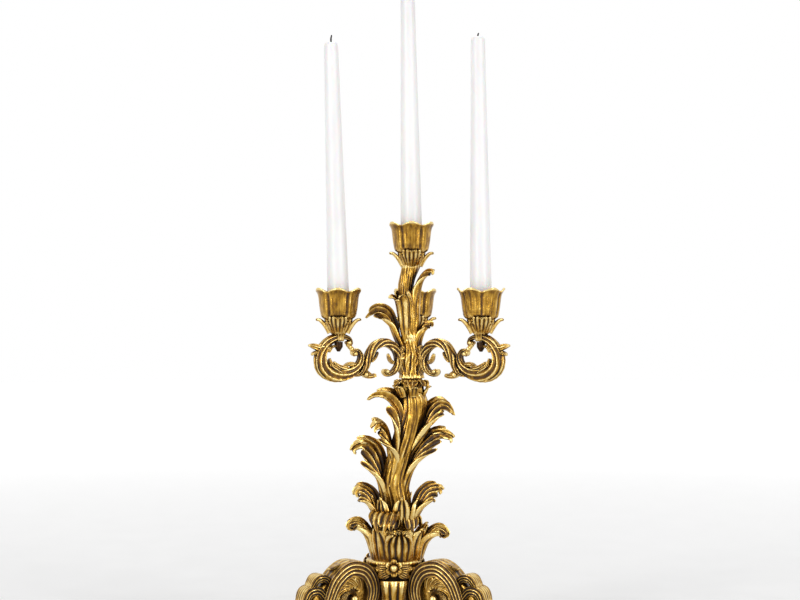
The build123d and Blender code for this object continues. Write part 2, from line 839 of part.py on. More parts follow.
def candle_cup(foot, turn):
    """Cup with six petals round a shallow dish and a candle socket in the middle."""
    mouth = cup_floor + socket_depth
    half_plane = Plane(origin=foot, x_dir=(1, 0, 0), z_dir=(0, -1, 0))
    with BuildPart() as cup:
        with BuildSketch(half_plane):
            with BuildLine():
                Line((0, 0), (cup_foot_r, 0))
                Spline(
                    (cup_foot_r, 0),
                    (cup_foot_r + 3.6, 9),
                    (petal_tip_r - 5, 18),
                    (petal_tip_r - 3.8, 25),
                    (petal_tip_r, cup_height),
                )
                Line((petal_tip_r, cup_height), (petal_tip_r - 2, cup_height))
                Line((petal_tip_r - 2, cup_height), (socket_r + 5, mouth))
                Line((socket_r + 5, mouth), (socket_r, mouth))
                Line((socket_r, mouth), (socket_r, cup_floor))
                Line((socket_r, cup_floor), (0, cup_floor))
                Line((0, cup_floor), (0, 0))
            make_face()
        revolve(axis=Axis(foot, (0, 0, 1)))
        for index in range(petals):
            azimuth = turn + 360 / petals * index
            rim = foot + polar(socket_r + 5, azimuth, cup_height + 0.5)
            with BuildSketch(Plane(origin=rim, x_dir=polar(1, azimuth + 90), z_dir=polar(1, azimuth))):
                Circle(3.2)
            extrude(amount=petal_tip_r, mode=Mode.SUBTRACT)
        add(
            sunk_hole(Plane(origin=foot + Vector(0, 0, cup_floor)), cup_bolt_r, 2 * cup_floor, cup_head_r),
            mode=Mode.SUBTRACT,
        )
    return cup.part


cup_feet = {side: seat + Vector(0, 0, calyx_height) for side, seat in cup_seats.items()}
for side, seat in cup_seats.items():
    save(calyx(seat), f"calyx_{side}")
    save(candle_cup(cup_feet[side], petal_turns[side]), f"cup_{side}")

# Cup fasteners: three bolts into acorn nuts, and the centre cup's screw
nut_seat = arm_top_z - arm_height + pad_low
with BuildPart() as cup_bolts:
    for side in arm_azimuths:
        plane = Plane(origin=cup_feet[side] + Vector(0, 0, cup_floor))
        reach_down = plane.origin.Z - nut_seat + acorn_height - 3.5
        add(sunk_screw(plane, cup_bolt_r, reach_down, cup_head_r))
save(cup_bolts.part, "cup_bolts")

with BuildPart() as acorn_nuts:
    for side in arm_azimuths:
        axis_x, axis_y = cup_seats[side].X, cup_seats[side].Y
        with BuildSketch(Plane(origin=(axis_x, axis_y, nut_seat))):
            Circle(acorn_r)
        with BuildSketch(Plane(origin=(axis_x, axis_y, nut_seat - 5))):
            Circle(acorn_r)
        with BuildSketch(Plane(origin=(axis_x, axis_y, nut_seat - acorn_height))):
            Circle(acorn_r / 3)
        loft(ruled=True)
        with BuildSketch(Plane(origin=(axis_x, axis_y, nut_seat))):
            Circle(cup_bolt_r + thread_gap)
        extrude(amount=-acorn_height + 3, mode=Mode.SUBTRACT)
save(acorn_nuts.part, "acorn_nuts")

with BuildPart() as centre_cup_screw:
    plane = Plane(origin=cup_feet["centre"] + Vector(0, 0, cup_floor))
    add(sunk_screw(plane, cup_bolt_r, cup_floor + calyx_height + stud_depth - seat_gap, cup_head_r))
save(centre_cup_screw.part, "centre_cup_screw")


# Candles: each leans a little, about the middle of its socket
def candle_axis(side, lean):
    """Plane at the middle of a socket's depth, with its own Z along the leaning candle."""
    middle = cup_feet[side] + Vector(0, 0, cup_floor + socket_depth / 2)
    direction = Vector(-sin(radians(lean)), 0, cos(radians(lean)))
    return Plane(origin=middle, x_dir=(0, 1, 0), z_dir=direction)


def taper_candle(plane, low, length):
    """Tapering candle with a rounded top and a hole for the wick."""
    top = length + low
    with BuildPart() as candle:
        with BuildSketch(plane.offset(low)):
            Circle(candle_r)
        with BuildSketch(plane.offset(low + socket_depth)):
            Circle(candle_r)
        loft()
        with BuildSketch(plane.offset(low + socket_depth)):
            Circle(candle_r)
        with BuildSketch(plane.offset(top - candle_tip_round)):
            Circle(candle_tip_r)
        loft()
        with BuildSketch(plane.offset(top - candle_tip_round)):
            Circle(candle_tip_r)
        with BuildSketch(plane.offset(top)):
            Circle(candle_tip_r - candle_tip_round)
        loft()
        with BuildSketch(plane.offset(top)):
            Circle(wick_r + 0.05)
        extrude(amount=-wick_seat, mode=Mode.SUBTRACT)
    return candle.part


def wick(plane, top, height):
    """Short cord with its foot in the wax."""
    with BuildPart() as cord:
        with BuildSketch(plane.offset(top - wick_seat)):
            Circle(wick_r)
        extrude(amount=wick_seat + height)
    return cord.part


candles = {
    "left": (left_lean, left_candle_length, left_wick_height),
    "right": (right_lean, right_candle_length, right_wick_height),
    "centre": (centre_lean, centre_candle_length, centre_wick_height),
}
for side, (lean, length, cord_height) in candles.items():
    plane = candle_axis(side, lean)
    low = seat_gap + candle_r * sin(radians(lean)) - socket_depth / 2
    save(taper_candle(plane, low, length), f"candle_{side}")
    save(wick(plane, low + length, cord_height), f"wick_{side}")
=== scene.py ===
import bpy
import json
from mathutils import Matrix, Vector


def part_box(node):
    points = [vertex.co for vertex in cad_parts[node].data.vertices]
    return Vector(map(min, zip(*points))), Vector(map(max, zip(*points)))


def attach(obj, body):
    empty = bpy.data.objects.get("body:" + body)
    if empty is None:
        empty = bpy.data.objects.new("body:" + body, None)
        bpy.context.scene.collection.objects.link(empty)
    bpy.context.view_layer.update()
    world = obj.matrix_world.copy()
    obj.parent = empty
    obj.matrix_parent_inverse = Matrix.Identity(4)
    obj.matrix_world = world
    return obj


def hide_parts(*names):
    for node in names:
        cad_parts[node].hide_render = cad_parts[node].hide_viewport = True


bl_info = {
    "name": "Gilt candle holder",
    "version": (1, 0, 0),
    "blender": (4, 5, 0),
    "location": "View3D > Sidebar > Candle holder",
    "description": "Carved castings, candles and finishes of a scroll-armed candle holder",
    "category": "Object",
}

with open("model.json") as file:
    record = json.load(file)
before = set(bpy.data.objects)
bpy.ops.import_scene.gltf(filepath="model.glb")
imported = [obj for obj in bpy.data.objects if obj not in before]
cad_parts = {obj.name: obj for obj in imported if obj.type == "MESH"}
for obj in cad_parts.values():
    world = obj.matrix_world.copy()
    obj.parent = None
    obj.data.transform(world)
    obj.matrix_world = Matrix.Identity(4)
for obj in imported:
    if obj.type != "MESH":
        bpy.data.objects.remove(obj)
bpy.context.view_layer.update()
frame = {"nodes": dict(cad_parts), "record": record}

import json
from math import atan2, cos, pi, radians, sin

import bpy
import numpy as np
from bpy.props import FloatProperty, FloatVectorProperty, IntProperty, PointerProperty
from bpy.types import Operator, Panel, PropertyGroup
from mathutils import Vector

BODY_OF = {
    node: body
    for body, members in frame["record"]["behaviour"]["bodies"].items()
    for node in members
}

# Lengths in the shaping code are millimetres, and meshes are written in metres
MM = 0.001


def from_hex(code):
    """Linear colour with alpha from an sRGB hex value."""
    values = [int(code[i:i + 2], 16) / 255 for i in (1, 3, 5)]
    linear = [v / 12.92 if v <= 0.04045 else ((v + 0.055) / 1.055) ** 2.4 for v in values]
    return (*linear, 1.0)


# Curves and values that run along a line
def along(table, share):
    """Smooth value at each share through (share, value) pairs."""
    keys, values = np.array(table, float).T
    if len(keys) > 2:
        slopes = np.gradient(values, keys)
    else:
        slopes = np.full(2, (values[1] - values[0]) / (keys[1] - keys[0]))
    share = np.clip(np.asarray(share, float), keys[0], keys[-1])
    i = np.clip(np.searchsorted(keys, share, side="right") - 1, 0, len(keys) - 2)
    step = keys[i + 1] - keys[i]
    t = (share - keys[i]) / step
    return (
        values[i] * (2 * t**3 - 3 * t**2 + 1)
        + step * slopes[i] * (t**3 - 2 * t**2 + t)
        + values[i + 1] * (3 * t**2 - 2 * t**3)
        + step * slopes[i + 1] * (t**3 - t**2)
    )


def line_through(points, count):
    """Evenly spaced points on a smooth curve through a few chosen ones."""
    points = np.array(points, float)
    chords = np.linalg.norm(np.diff(points, axis=0), axis=1)
    knots = np.concatenate(([0], np.cumsum(np.sqrt(chords))))
    fine = np.linspace(0, knots[-1], 40 * len(points))
    curve = np.stack([along(np.stack((knots, c), axis=1), fine) for c in points.T], axis=1)
    reach = np.concatenate(([0], np.cumsum(np.linalg.norm(np.diff(curve, axis=0), axis=1))))
    even = np.linspace(0, reach[-1], count)
    return np.stack([np.interp(even, reach, c) for c in curve.T], axis=1)


def tangents(path):
    """Unit vectors along a path of points."""
    steps = np.gradient(path, axis=0)
    return steps / np.linalg.norm(steps, axis=1)[:, None]


def rolled(points, radius, turn, closing=0.6):
    """Points with a roll added at their end: positive turns to the left of the way they run."""
    points = [tuple(p) for p in points]
    (x0, y0), (x1, y1) = points[-2:]
    heading = atan2(y1 - y0, x1 - x0)
    steps = max(int(abs(turn) / 30), 2)
    side = 1 if turn > 0 else -1
    for i in range(steps):
        shrink = 1 - (1 - closing) * (i + 0.5) / steps
        bend = radians(abs(turn)) / steps
        heading += side * bend / 2
        x1 += bend * radius * shrink * cos(heading)
        y1 += bend * radius * shrink * sin(heading)
        heading += side * bend / 2
        points.append((x1, y1))
    return points


def polar(reach, azimuth):
    """Level vector at an azimuth in degrees."""
    return np.array((reach * cos(radians(azimuth)), reach * sin(radians(azimuth)), 0.0))


def upright(origin, azimuth, reach, across, up):
    """Points by how far out, aside and up they lie in an upright plane at an azimuth."""
    out, side = polar(1, azimuth), polar(1, azimuth - 90)
    points = np.array(origin) + reach[..., None] * out + across[..., None] * side
    points[..., 2] += up
    return points


# Shells: points with the quads and triangles that close them
def joined(shells):
    """Several shells as one."""
    points, quads, tris, first = [], [], [], 0
    for p, q, t in shells:
        points.append(p)
        quads.append(q + first)
        tris.append(t + first)
        first += len(p)
    return np.concatenate(points), np.concatenate(quads), np.concatenate(tris)


def outward(points, quads, tris):
    """The shell with its faces pointing outwards."""
    corners = np.concatenate((quads[:, [0, 1, 2]], quads[:, [0, 2, 3]], tris)).reshape(-1, 3)
    a, b, c = (points[corners[:, i]] for i in range(3))
    volume = np.einsum("ij,ij->", a, np.cross(b, c))
    if volume < 0:
        quads, tris = quads[:, ::-1], tris[:, ::-1]
    return points, quads, tris


def skin(rings, flat_ends=False):
    """Closed shell over rings of points; flat ends are those of a front row and a back row."""
    rows, columns = rings.shape[:2]
    index = np.arange(rows * columns).reshape(rows, columns)
    after = np.roll(index, -1, axis=1)
    quads = np.stack((index[:-1], after[:-1], after[1:], index[1:]), axis=-1).reshape(-1, 4)
    points = rings.reshape(-1, 3)
    if flat_ends:
        half = columns // 2
        for row, turned_round in ((index[0], True), (index[-1], False)):
            front, back = row[:half], row[half:][::-1]
            strip = np.stack((front[:-1], front[1:], back[1:], back[:-1]), axis=-1)
            quads = np.concatenate((quads, strip[:, ::-1] if turned_round else strip))
        return outward(points, quads, np.zeros((0, 3), int))
    centres = np.array((rings[0].mean(0), rings[-1].mean(0)))
    last = len(points)
    low = np.stack((after[0], index[0], np.full(columns, last)), axis=-1)
    high = np.stack((index[-1], after[-1], np.full(columns, last + 1)), axis=-1)
    return outward(np.concatenate((points, centres)), quads, np.concatenate((low, high)))


def slab(front, back):
    """Closed shell between a front sheet and a back sheet of points."""
    return skin(np.concatenate((front, back[:, ::-1]), axis=1), flat_ends=True)


def round_ends(share, length, start, end):
    """Factor that closes a sweep into round ends of the given radii."""
    near = np.ones_like(share)
    for distance, radius in ((share * length, start), ((1 - share) * length, end)):
        if radius:
            inside = np.clip(distance / radius, 0, 1)
            near = np.minimum(near, np.sqrt(np.clip(1 - (1 - inside) ** 2, 0.0004, 1)))
    return near


def band(origin, azimuth, line, heights, widths, flutes=(3, 2), depth=0.12, swirl=0.0,
         squareness=0.55, ends=(0, 2), shift=((0, 0), (1, 0)), spacing=0.8, around=72):
    """Fluted band along a line in an upright plane: heights are in that plane, widths across it."""
    rough = line_through(line, 200)
    length = np.linalg.norm(np.diff(rough, axis=0), axis=1).sum()
    rows = int(length / spacing) + 8
    path = line_through(line, rows)
    share = np.linspace(0, 1, rows)
    tangent = tangents(path)
    normal = np.stack((-tangent[:, 1], tangent[:, 0]), axis=1)
    face = np.linspace(-1, 1, around // 4, endpoint=False)
    one = np.ones_like(face)
    a = np.concatenate((one, -face, -one, face))
    b = np.concatenate((face, one, -face, -one))
    side_groove = np.abs(np.sin(pi * flutes[0] * ((a[None] + 1) / 2 + swirl * share[:, None])))
    edge_groove = np.abs(np.sin(pi * flutes[1] * ((b[None] + 1) / 2 + swirl * share[:, None])))
    on_side = (np.abs(b) > 0.999)[None]
    pull = 1 - depth * np.where(on_side, side_groove, edge_groove)
    round_a = a * np.sqrt(1 - (1 - squareness) * b**2 / 2)
    round_b = b * np.sqrt(1 - (1 - squareness) * a**2 / 2)
    height, width = along(heights, share), along(widths, share)
    near = round_ends(share, length, *ends)
    rise = (height * near)[:, None] / 2 * round_a[None] * np.where(on_side, 1, pull)
    across = (width * near)[:, None] / 2 * round_b[None] * np.where(on_side, pull, 1)
    across += along(shift, share)[:, None]
    reach = path[:, 0][:, None] + normal[:, 0][:, None] * rise
    up = path[:, 1][:, None] + normal[:, 1][:, None] * rise
    return skin(upright(origin, azimuth, reach, across, up))


def finger_ends(u, ends, notch):
    """Share of the leaf's length that each place across it reaches, lobed by its fingers."""
    count = len(ends)
    f = np.clip((u + 1) / 2 * count, 0, count - 1e-6)
    k = f.astype(int)
    v = f - k - 0.5
    ends = np.array(ends, float)
    low = np.minimum(ends, np.concatenate((ends[:1], ends[:-1]))) * (1 - notch)
    high = np.minimum(ends, np.concatenate((ends[1:], ends[-1:]))) * (1 - notch)
    base = np.where(v < 0, low[k], high[k])
    return base + (ends[k] - base) * (1 - np.abs(2 * v) ** 3), f - k


def leaf(origin, azimuth, line, widths, ends, notch, arch, turn=((0, 0), (1, 0)), thick=(3.2, 1.5), rib=1.1,
         rows=72, columns=41):
    """Carved leaf: widths are halves, arch bends its sides towards the stem, turn twists it."""
    spine = line_through(line, 300)
    tangent = tangents(spine)
    at = np.linspace(0, 1, 300)
    u = np.linspace(-1, 1, columns)
    reach_share, v = finger_ends(u, ends, notch)
    share = np.linspace(0, 1, rows)[:, None] * reach_share[None]
    p = [np.interp(share, at, spine[:, i]) for i in range(2)]
    t = [np.interp(share, at, tangent[:, i]) for i in range(2)]
    half, bend = along(widths, share), np.radians(along(arch, share))
    bend = np.where(np.abs(bend) < 0.02, 0.02, bend)
    twist = np.radians(along(turn, share))
    angle = bend * u[None]
    groove = -rib * np.sin(pi * v)[None] * along(((0, 0.2), (0.3, 1), (0.85, 1), (1, 0.5)), share)
    groove *= np.clip(half / 6, 0.2, 1.3)
    edge = 1 - 0.45 * np.abs(u[None]) ** 4
    wall = (thick[0] + (thick[1] - thick[0]) * share) * edge
    sheets = []
    for lift in (groove, groove - wall):
        x = half / bend * np.sin(angle) - np.sin(angle) * lift
        y = half / bend * (1 - np.cos(angle)) + np.cos(angle) * lift
        across = x * np.cos(twist) - y * np.sin(twist)
        rise = x * np.sin(twist) + y * np.cos(twist)
        reach = p[0] - t[1] * rise
        up = p[1] + t[0] * rise
        sheets.append(upright(origin, azimuth, reach, across, up))
    return slab(*sheets)


def stem(stations, foot, height, strands, deep, seed, rows=150, around=144, swirl=0.0):
    """Swaying stem of strands with grooves between them: stations are (share, sideways, radius)."""
    share = np.linspace(0, 1, rows)
    keys = np.array(stations)
    shift = along(keys[:, [0, 1]], share)
    radius = along(keys[:, [0, 2]], share)
    theta = np.linspace(0, 2 * pi, around, endpoint=False)
    chance = np.random.default_rng(seed)
    place = (np.arange(strands) + chance.uniform(-0.22, 0.22, strands)) * 2 * pi / strands
    spread = 2 * pi / strands * chance.uniform(0.62, 0.85, strands)
    crest = np.zeros((rows, around))
    for centre, half in zip(place, spread):
        wander = 0.18 * np.sin(share * chance.uniform(3, 7) + chance.uniform(0, 6)) + swirl * share
        swell = 1 + 0.25 * np.sin(share * chance.uniform(4, 9) + chance.uniform(0, 6))
        off = (theta[None] - centre - wander[:, None] + pi) % (2 * pi) - pi
        crest = np.maximum(crest, swell[:, None] * np.sqrt(np.clip(1 - (off / half) ** 2, 0, 1)))
    waver = np.sin(theta * 19 + 3 * np.sin(share * 7)[:, None])
    fine = 0.3 * waver * np.sin(share[:, None] * 11 + 3 * theta[None])
    r = radius[:, None] - deep * (1 - crest) + fine
    rings = np.zeros((rows, around, 3))
    rings[..., 0] = foot[0] + shift[:, None] + r * np.cos(theta)
    rings[..., 1] = foot[1] + r * np.sin(theta)
    rings[..., 2] = foot[2] + (share * height)[:, None]
    return skin(rings)


def turned(profile, origin, around=96, flutes=0, deep=0.0):
    """Turned shell from (radius, height) points, fluted if asked."""
    theta = np.linspace(0, 2 * pi, around, endpoint=False)
    wave = 1 - deep * np.abs(np.sin(flutes * theta / 2)) if flutes else np.ones(around)
    rings = np.zeros((len(profile), around, 3))
    for i, (r, z) in enumerate(profile):
        rings[i, :, 0] = origin[0] + r * wave * np.cos(theta)
        rings[i, :, 1] = origin[1] + r * wave * np.sin(theta)
        rings[i, :, 2] = origin[2] + z
    return skin(rings)


def ball(centre, radius, around=24):
    """Small round bead."""
    turns = np.linspace(-88, 88, around // 2)
    return turned([(radius * cos(radians(a)), radius * sin(radians(a))) for a in turns], centre, around)


# Relief: how proud or sunken each point of a casting is, for wear on ridges and patina in hollows.
# A few smoothing passes show its fine part, and many show its broad part
FINE_PASSES = 4
BROAD_PASSES = 30


def relief_of(points, quads, tris, normals):
    """0 in a hollow and 1 on a ridge, from how far smoothing would move each point."""
    pairs = np.concatenate([quads[:, [i, (i + 1) % 4]] for i in range(4)]
                           + [tris[:, [i, (i + 1) % 3]] for i in range(3)])
    a, b = pairs.T
    count = len(points)
    degree = np.bincount(a, minlength=count) + np.bincount(b, minlength=count)
    degree = np.maximum(degree, 1)
    smooth, moved = points.copy(), {}
    for step in range(1, BROAD_PASSES + 1):
        total = np.stack([
            np.bincount(a, smooth[b, c], count) + np.bincount(b, smooth[a, c], count) for c in range(3)
        ], axis=1)
        smooth = 0.4 * smooth + 0.6 * total / degree[:, None]
        if step in (FINE_PASSES, BROAD_PASSES):
            moved[step] = np.einsum("ij,ij->i", smooth - points, normals)
    return np.clip(0.5 - 1.2 * moved[FINE_PASSES] - 0.5 * moved[BROAD_PASSES], 0, 1)


def mesh_of(name, shell, relief=True):
    """Mesh in metres from a shell in millimetres, smooth, with its relief attribute."""
    points, quads, tris = shell
    mesh = bpy.data.meshes.new(name)
    mesh.from_pydata((points * MM).tolist(), [], quads.tolist() + tris.tolist())
    mesh.shade_smooth()
    if relief:
        normals = np.zeros(len(points) * 3, np.float32)
        mesh.vertex_normals.foreach_get("vector", normals)
        values = relief_of(points, quads, tris, normals.reshape(-1, 3).astype(float))
        layer = mesh.attributes.new("relief", "FLOAT", "POINT")
        layer.data.foreach_set("value", values.astype(np.float32))
    return mesh


def shell_of(mesh):
    """Shell in millimetres from a mesh in metres."""
    points = np.zeros(len(mesh.vertices) * 3, np.float32)
    mesh.vertices.foreach_get("co", points)
    faces = [tuple(p.vertices) for p in mesh.polygons]
    quads = np.array([f for f in faces if len(f) == 4], int).reshape(-1, 4)
    tris = np.array([f for f in faces if len(f) == 3], int).reshape(-1, 3)
    return points.reshape(-1, 3).astype(float) / MM, quads, tris


def casting(node, shells, material="gilt", relief=True):
    """Piece that stands for a CAD node, made of closed shells."""
    obj = bpy.data.objects.new(f"{node}_casting", mesh_of(f"{node}_casting", joined(shells), relief))
    obj.data.materials.append(finishes[material])
    bpy.context.scene.collection.objects.link(obj)
    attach(obj, BODY_OF[node])
    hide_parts(node)
    return obj


# Geometry Nodes: what repeats round an axis or along a line
def tree_node(tree, kind, links=(), **settings):
    """Adds a node with its settings, and links (output socket, input name or index)."""
    node = tree.nodes.new(kind)
    for key, value in settings.items():
        setattr(node, key, value)
    for source, target in links:
        socket = node.inputs[target]
        if hasattr(source, "is_output"):
            tree.links.new(source, socket)
        else:
            socket.default_value = source
    return node


def new_tree(name, inputs):
    """Node tree with named inputs after its geometry."""
    tree = bpy.data.node_groups.new(name, "GeometryNodeTree")
    tree.interface.new_socket("Geometry", in_out="INPUT", socket_type="NodeSocketGeometry")
    for label, kind in inputs:
        tree.interface.new_socket(label, in_out="INPUT", socket_type=kind)
    tree.interface.new_socket("Geometry", in_out="OUTPUT", socket_type="NodeSocketGeometry")
    return tree


def end_tree(tree, geometry, material):
    """Makes the instances real, gives them their material and ends the tree."""
    real = tree_node(tree, "GeometryNodeRealizeInstances", [(geometry, 0)])
    done = tree_node(tree, "GeometryNodeSetMaterial", [(real.outputs[0], "Geometry"), (material, "Material")])
    tree_node(tree, "NodeGroupOutput", [(done.outputs[0], 0)])


def ring_tree():
    """Copies of a shape round the Z axis, each a little turned and scaled by chance."""
    tree = new_tree("ring_of_leaves", [
        ("Count", "NodeSocketInt"),
        ("Start", "NodeSocketFloat"),
        ("Turn jitter", "NodeSocketFloat"),
        ("Scale jitter", "NodeSocketFloat"),
        ("Seed", "NodeSocketInt"),
        ("Material", "NodeSocketMaterial"),
    ])
    given = tree_node(tree, "NodeGroupInput").outputs
    places = tree_node(tree, "GeometryNodeMeshLine", [(given["Count"], "Count"), ((0, 0, 0), "Offset")])
    index = tree_node(tree, "GeometryNodeInputIndex")
    step = tree_node(tree, "ShaderNodeMath", [(2 * pi, 0), (given["Count"], 1)], operation="DIVIDE")
    angle = tree_node(tree, "ShaderNodeMath", [
        (index.outputs[0], 0), (step.outputs[0], 1), (given["Start"], 2),
    ], operation="MULTIPLY_ADD")
    jitter = tree_node(tree, "FunctionNodeRandomValue", [(-1.0, 2), (1.0, 3), (given["Seed"], "Seed")])
    turned_angle = tree_node(tree, "ShaderNodeMath", [
        (jitter.outputs[1], 0), (given["Turn jitter"], 1), (angle.outputs[0], 2),
    ], operation="MULTIPLY_ADD")
    rotation = tree_node(tree, "ShaderNodeCombineXYZ", [(turned_angle.outputs[0], "Z")])
    scale = tree_node(tree, "ShaderNodeMath", [
        (jitter.outputs[1], 0), (given["Scale jitter"], 1), (1.0, 2),
    ], operation="MULTIPLY_ADD")
    copies = tree_node(tree, "GeometryNodeInstanceOnPoints", [
        (places.outputs[0], "Points"), (given["Geometry"], "Instance"),
        (rotation.outputs[0], "Rotation"), (scale.outputs[0], "Scale"),
    ])
    end_tree(tree, copies.outputs[0], given["Material"])
    return tree


def bead_tree():
    """Beads that stand one after another along a line."""
    tree = new_tree("row_of_beads", [
        ("Count", "NodeSocketInt"),
        ("Bead radius", "NodeSocketFloat"),
        ("Material", "NodeSocketMaterial"),
    ])
    given = tree_node(tree, "NodeGroupInput").outputs
    curve = tree_node(tree, "GeometryNodeMeshToCurve", [(given["Geometry"], 0)])
    even = tree_node(tree, "GeometryNodeResampleCurve", [
        (curve.outputs[0], "Curve"), (given["Count"], "Count"),
    ])
    bead = tree_node(tree, "GeometryNodeMeshIcoSphere", [
        (given["Bead radius"], "Radius"), (3, "Subdivisions"),
    ])
    copies = tree_node(tree, "GeometryNodeInstanceOnPoints", [
        (even.outputs[0], "Points"), (bead.outputs[0], "Instance"),
    ])
    end_tree(tree, copies.outputs[0], given["Material"])
    return tree


def grown(tree, mesh, **inputs):
    """Shell that a tree makes of a mesh, in millimetres."""
    obj = bpy.data.objects.new(tree.name, mesh)
    bpy.context.scene.collection.objects.link(obj)
    modifier = obj.modifiers.new(tree.name, "NODES")
    modifier.node_group = tree
    sockets = {s.name: s.identifier for s in tree.interface.items_tree if s.in_out == "INPUT"}
    for label, value in inputs.items():
        modifier[sockets[label.replace("_", " ")]] = value
    bpy.context.view_layer.update()
    result = bpy.data.meshes.new_from_object(obj.evaluated_get(bpy.context.evaluated_depsgraph_get()))
    shell = shell_of(result)
    bpy.data.objects.remove(obj)
    return shell


def ring_of(shell, count, start=0.0, centre=(0, 0, 0), seed=1, turn_jitter=0.0, scale_jitter=0.0):
    """Copies of a shell round an upright axis."""
    tree = bpy.data.node_groups.get("ring_of_leaves") or ring_tree()
    points, quads, tris = grown(
        tree, mesh_of("leaf", shell, relief=False), Count=count, Start=radians(start),
        Turn_jitter=radians(turn_jitter), Scale_jitter=scale_jitter, Seed=seed, Material=finishes["gilt"],
    )
    return points + np.array(centre, float), quads, tris


def beads_along(points, count, radius):
    """Row of beads along a line of points."""
    tree = bpy.data.node_groups.get("row_of_beads") or bead_tree()
    mesh = bpy.data.meshes.new("line")
    mesh.from_pydata((np.array(points) * MM).tolist(), [(i, i + 1) for i in range(len(points) - 1)], [])
    return grown(tree, mesh, Count=count, Bead_radius=radius * MM, Material=finishes["gilt"])


# Finishes: each is a function that builds its material once
def new_finish(name, **fixed):
    """Material with its tree, its shader and the shader's fixed values."""
    material = bpy.data.materials.new(name)
    material.use_nodes = True
    tree = material.node_tree
    tree.nodes.clear()
    shader = tree_node(tree, "ShaderNodeBsdfPrincipled")
    for key, value in fixed.items():
        shader.inputs[key.replace("_", " ")].default_value = value
    tree_node(tree, "ShaderNodeOutputMaterial", [(shader.outputs[0], "Surface")])
    return material, tree, shader


def pattern(tree, size_mm, detail=3.0, stretch=(1, 1, 1)):
    """Noise on object coordinates whose grains are about a size in millimetres."""
    place = tree_node(tree, "ShaderNodeTexCoord").outputs["Object"]
    scaled = tree_node(tree, "ShaderNodeMapping", [(place, "Vector"), (stretch, "Scale")])
    return tree_node(tree, "ShaderNodeTexNoise", [
        (scaled.outputs[0], "Vector"), (1 / (size_mm * MM), "Scale"), (detail, "Detail"),
    ]).outputs["Fac"]


def coloured(tree, shader, value, *stops):
    """Base colour of a shader from a value, through (place, colour) stops."""
    node = tree_node(tree, "ShaderNodeValToRGB", [(value, 0)])
    while len(node.color_ramp.elements) < len(stops):
        node.color_ramp.elements.new(1.0)
    for element, (place, colour) in zip(node.color_ramp.elements, stops):
        element.position = place
        element.color = colour
    tree.links.new(node.outputs["Color"], shader.inputs["Base Color"])


def bumped(tree, shader, height, strength, depth_mm):
    """Fine unevenness of a surface."""
    bump = tree_node(tree, "ShaderNodeBump", [
        (height, "Height"), (strength, "Strength"), (depth_mm * MM, "Distance"),
    ])
    tree.links.new(bump.outputs[0], shader.inputs["Normal"])


def gilt_brass():
    """Cast brass, gilt and then glazed dark: rubbed bright on its ridges, brown to black in its hollows, with
    painted shade wherever ambient occlusion finds other surfaces close.
    """
    look = bpy.context.scene.holder_finish
    material, tree, shader = new_finish("gilt_brass", Coat_Weight=0.2, Coat_Roughness=0.08,
                                        Specular_IOR_Level=0.3)
    relief = tree_node(tree, "ShaderNodeAttribute", attribute_name="relief").outputs["Fac"]
    # Ambient occlusion within 9 mm, used as painted shade where parts and folds shelter one another
    painted_occlusion_shade = tree_node(tree, "ShaderNodeAmbientOcclusion", [(0.009, "Distance")], samples=6).outputs["AO"]
    streaks = pattern(tree, look.streak_mm, 7.0, (1, 1, 0.4))
    # Painted shade: ambient occlusion lowers the relief by up to 0.82 in sheltered places, which darkens them
    # and makes them less metallic and rougher; streaks move it by up to 0.475 either way
    level = relief
    for value, share, shift in ((painted_occlusion_shade, 0.9, -0.82), (streaks, 0.95, -0.475)):
        change = tree_node(tree, "ShaderNodeMath", [(value, 0), (share, 1), (shift, 2)],
                           operation="MULTIPLY_ADD")
        level = tree_node(tree, "ShaderNodeMath", [(level, 0), (change.outputs[0], 1)],
                          operation="ADD").outputs[0]
    coloured(tree, shader, level, (0.06, look.patina), (0.24, look.glaze), (0.4, look.gold_deep),
             (0.56, look.gold_mid), (0.8, look.gold_light), (1.0, look.gold_ridge))
    for name, span in (("Metallic", (0.15, 0.45, 0.35, 0.92)), ("Roughness", (0.2, 0.7, 0.45, 0.17))):
        spread = tree_node(tree, "ShaderNodeMapRange", [(level, 0), *zip(span, range(1, 5))])
        tree.links.new(spread.outputs[0], shader.inputs[name])
    bumped(tree, shader, pattern(tree, 2.4, 6.0), 0.6, 0.6)
    return material


def dark_brass():
    """Turned brass left under a dark patina, a little rubbed."""
    look = bpy.context.scene.holder_finish
    material, tree, shader = new_finish("dark_brass", Metallic=0.8, Roughness=0.42)
    coloured(tree, shader, pattern(tree, 2.0, 4.0), (0.35, look.patina), (0.75, look.glaze))
    bumped(tree, shader, pattern(tree, 0.8), 0.3, 0.1)
    return material


def plain_steel():
    """Turned and zinc-plated steel of the hidden fasteners: grey with faint tool marks."""
    material, tree, shader = new_finish("zinc_plated_steel", Metallic=1.0, Roughness=0.35)
    coloured(tree, shader, pattern(tree, 3.0, 4.0), (0.3, from_hex("#8C8E90")), (0.7, from_hex("#B4B6B8")))
    bumped(tree, shader, pattern(tree, 0.4, 2.0, (1, 1, 8)), 0.3, 0.05)
    return material


def wool_felt():
    """Pressed wool felt: matt, dark brown, with tangled fibres about half a millimetre across."""
    material, tree, shader = new_finish("wool_felt", Roughness=0.95, Sheen_Weight=0.4)
    coloured(tree, shader, pattern(tree, 0.9, 6.0), (0.3, from_hex("#1C140E")), (0.7, from_hex("#3A2C20")))
    bumped(tree, shader, pattern(tree, 0.5, 6.0), 0.8, 0.3)
    return material


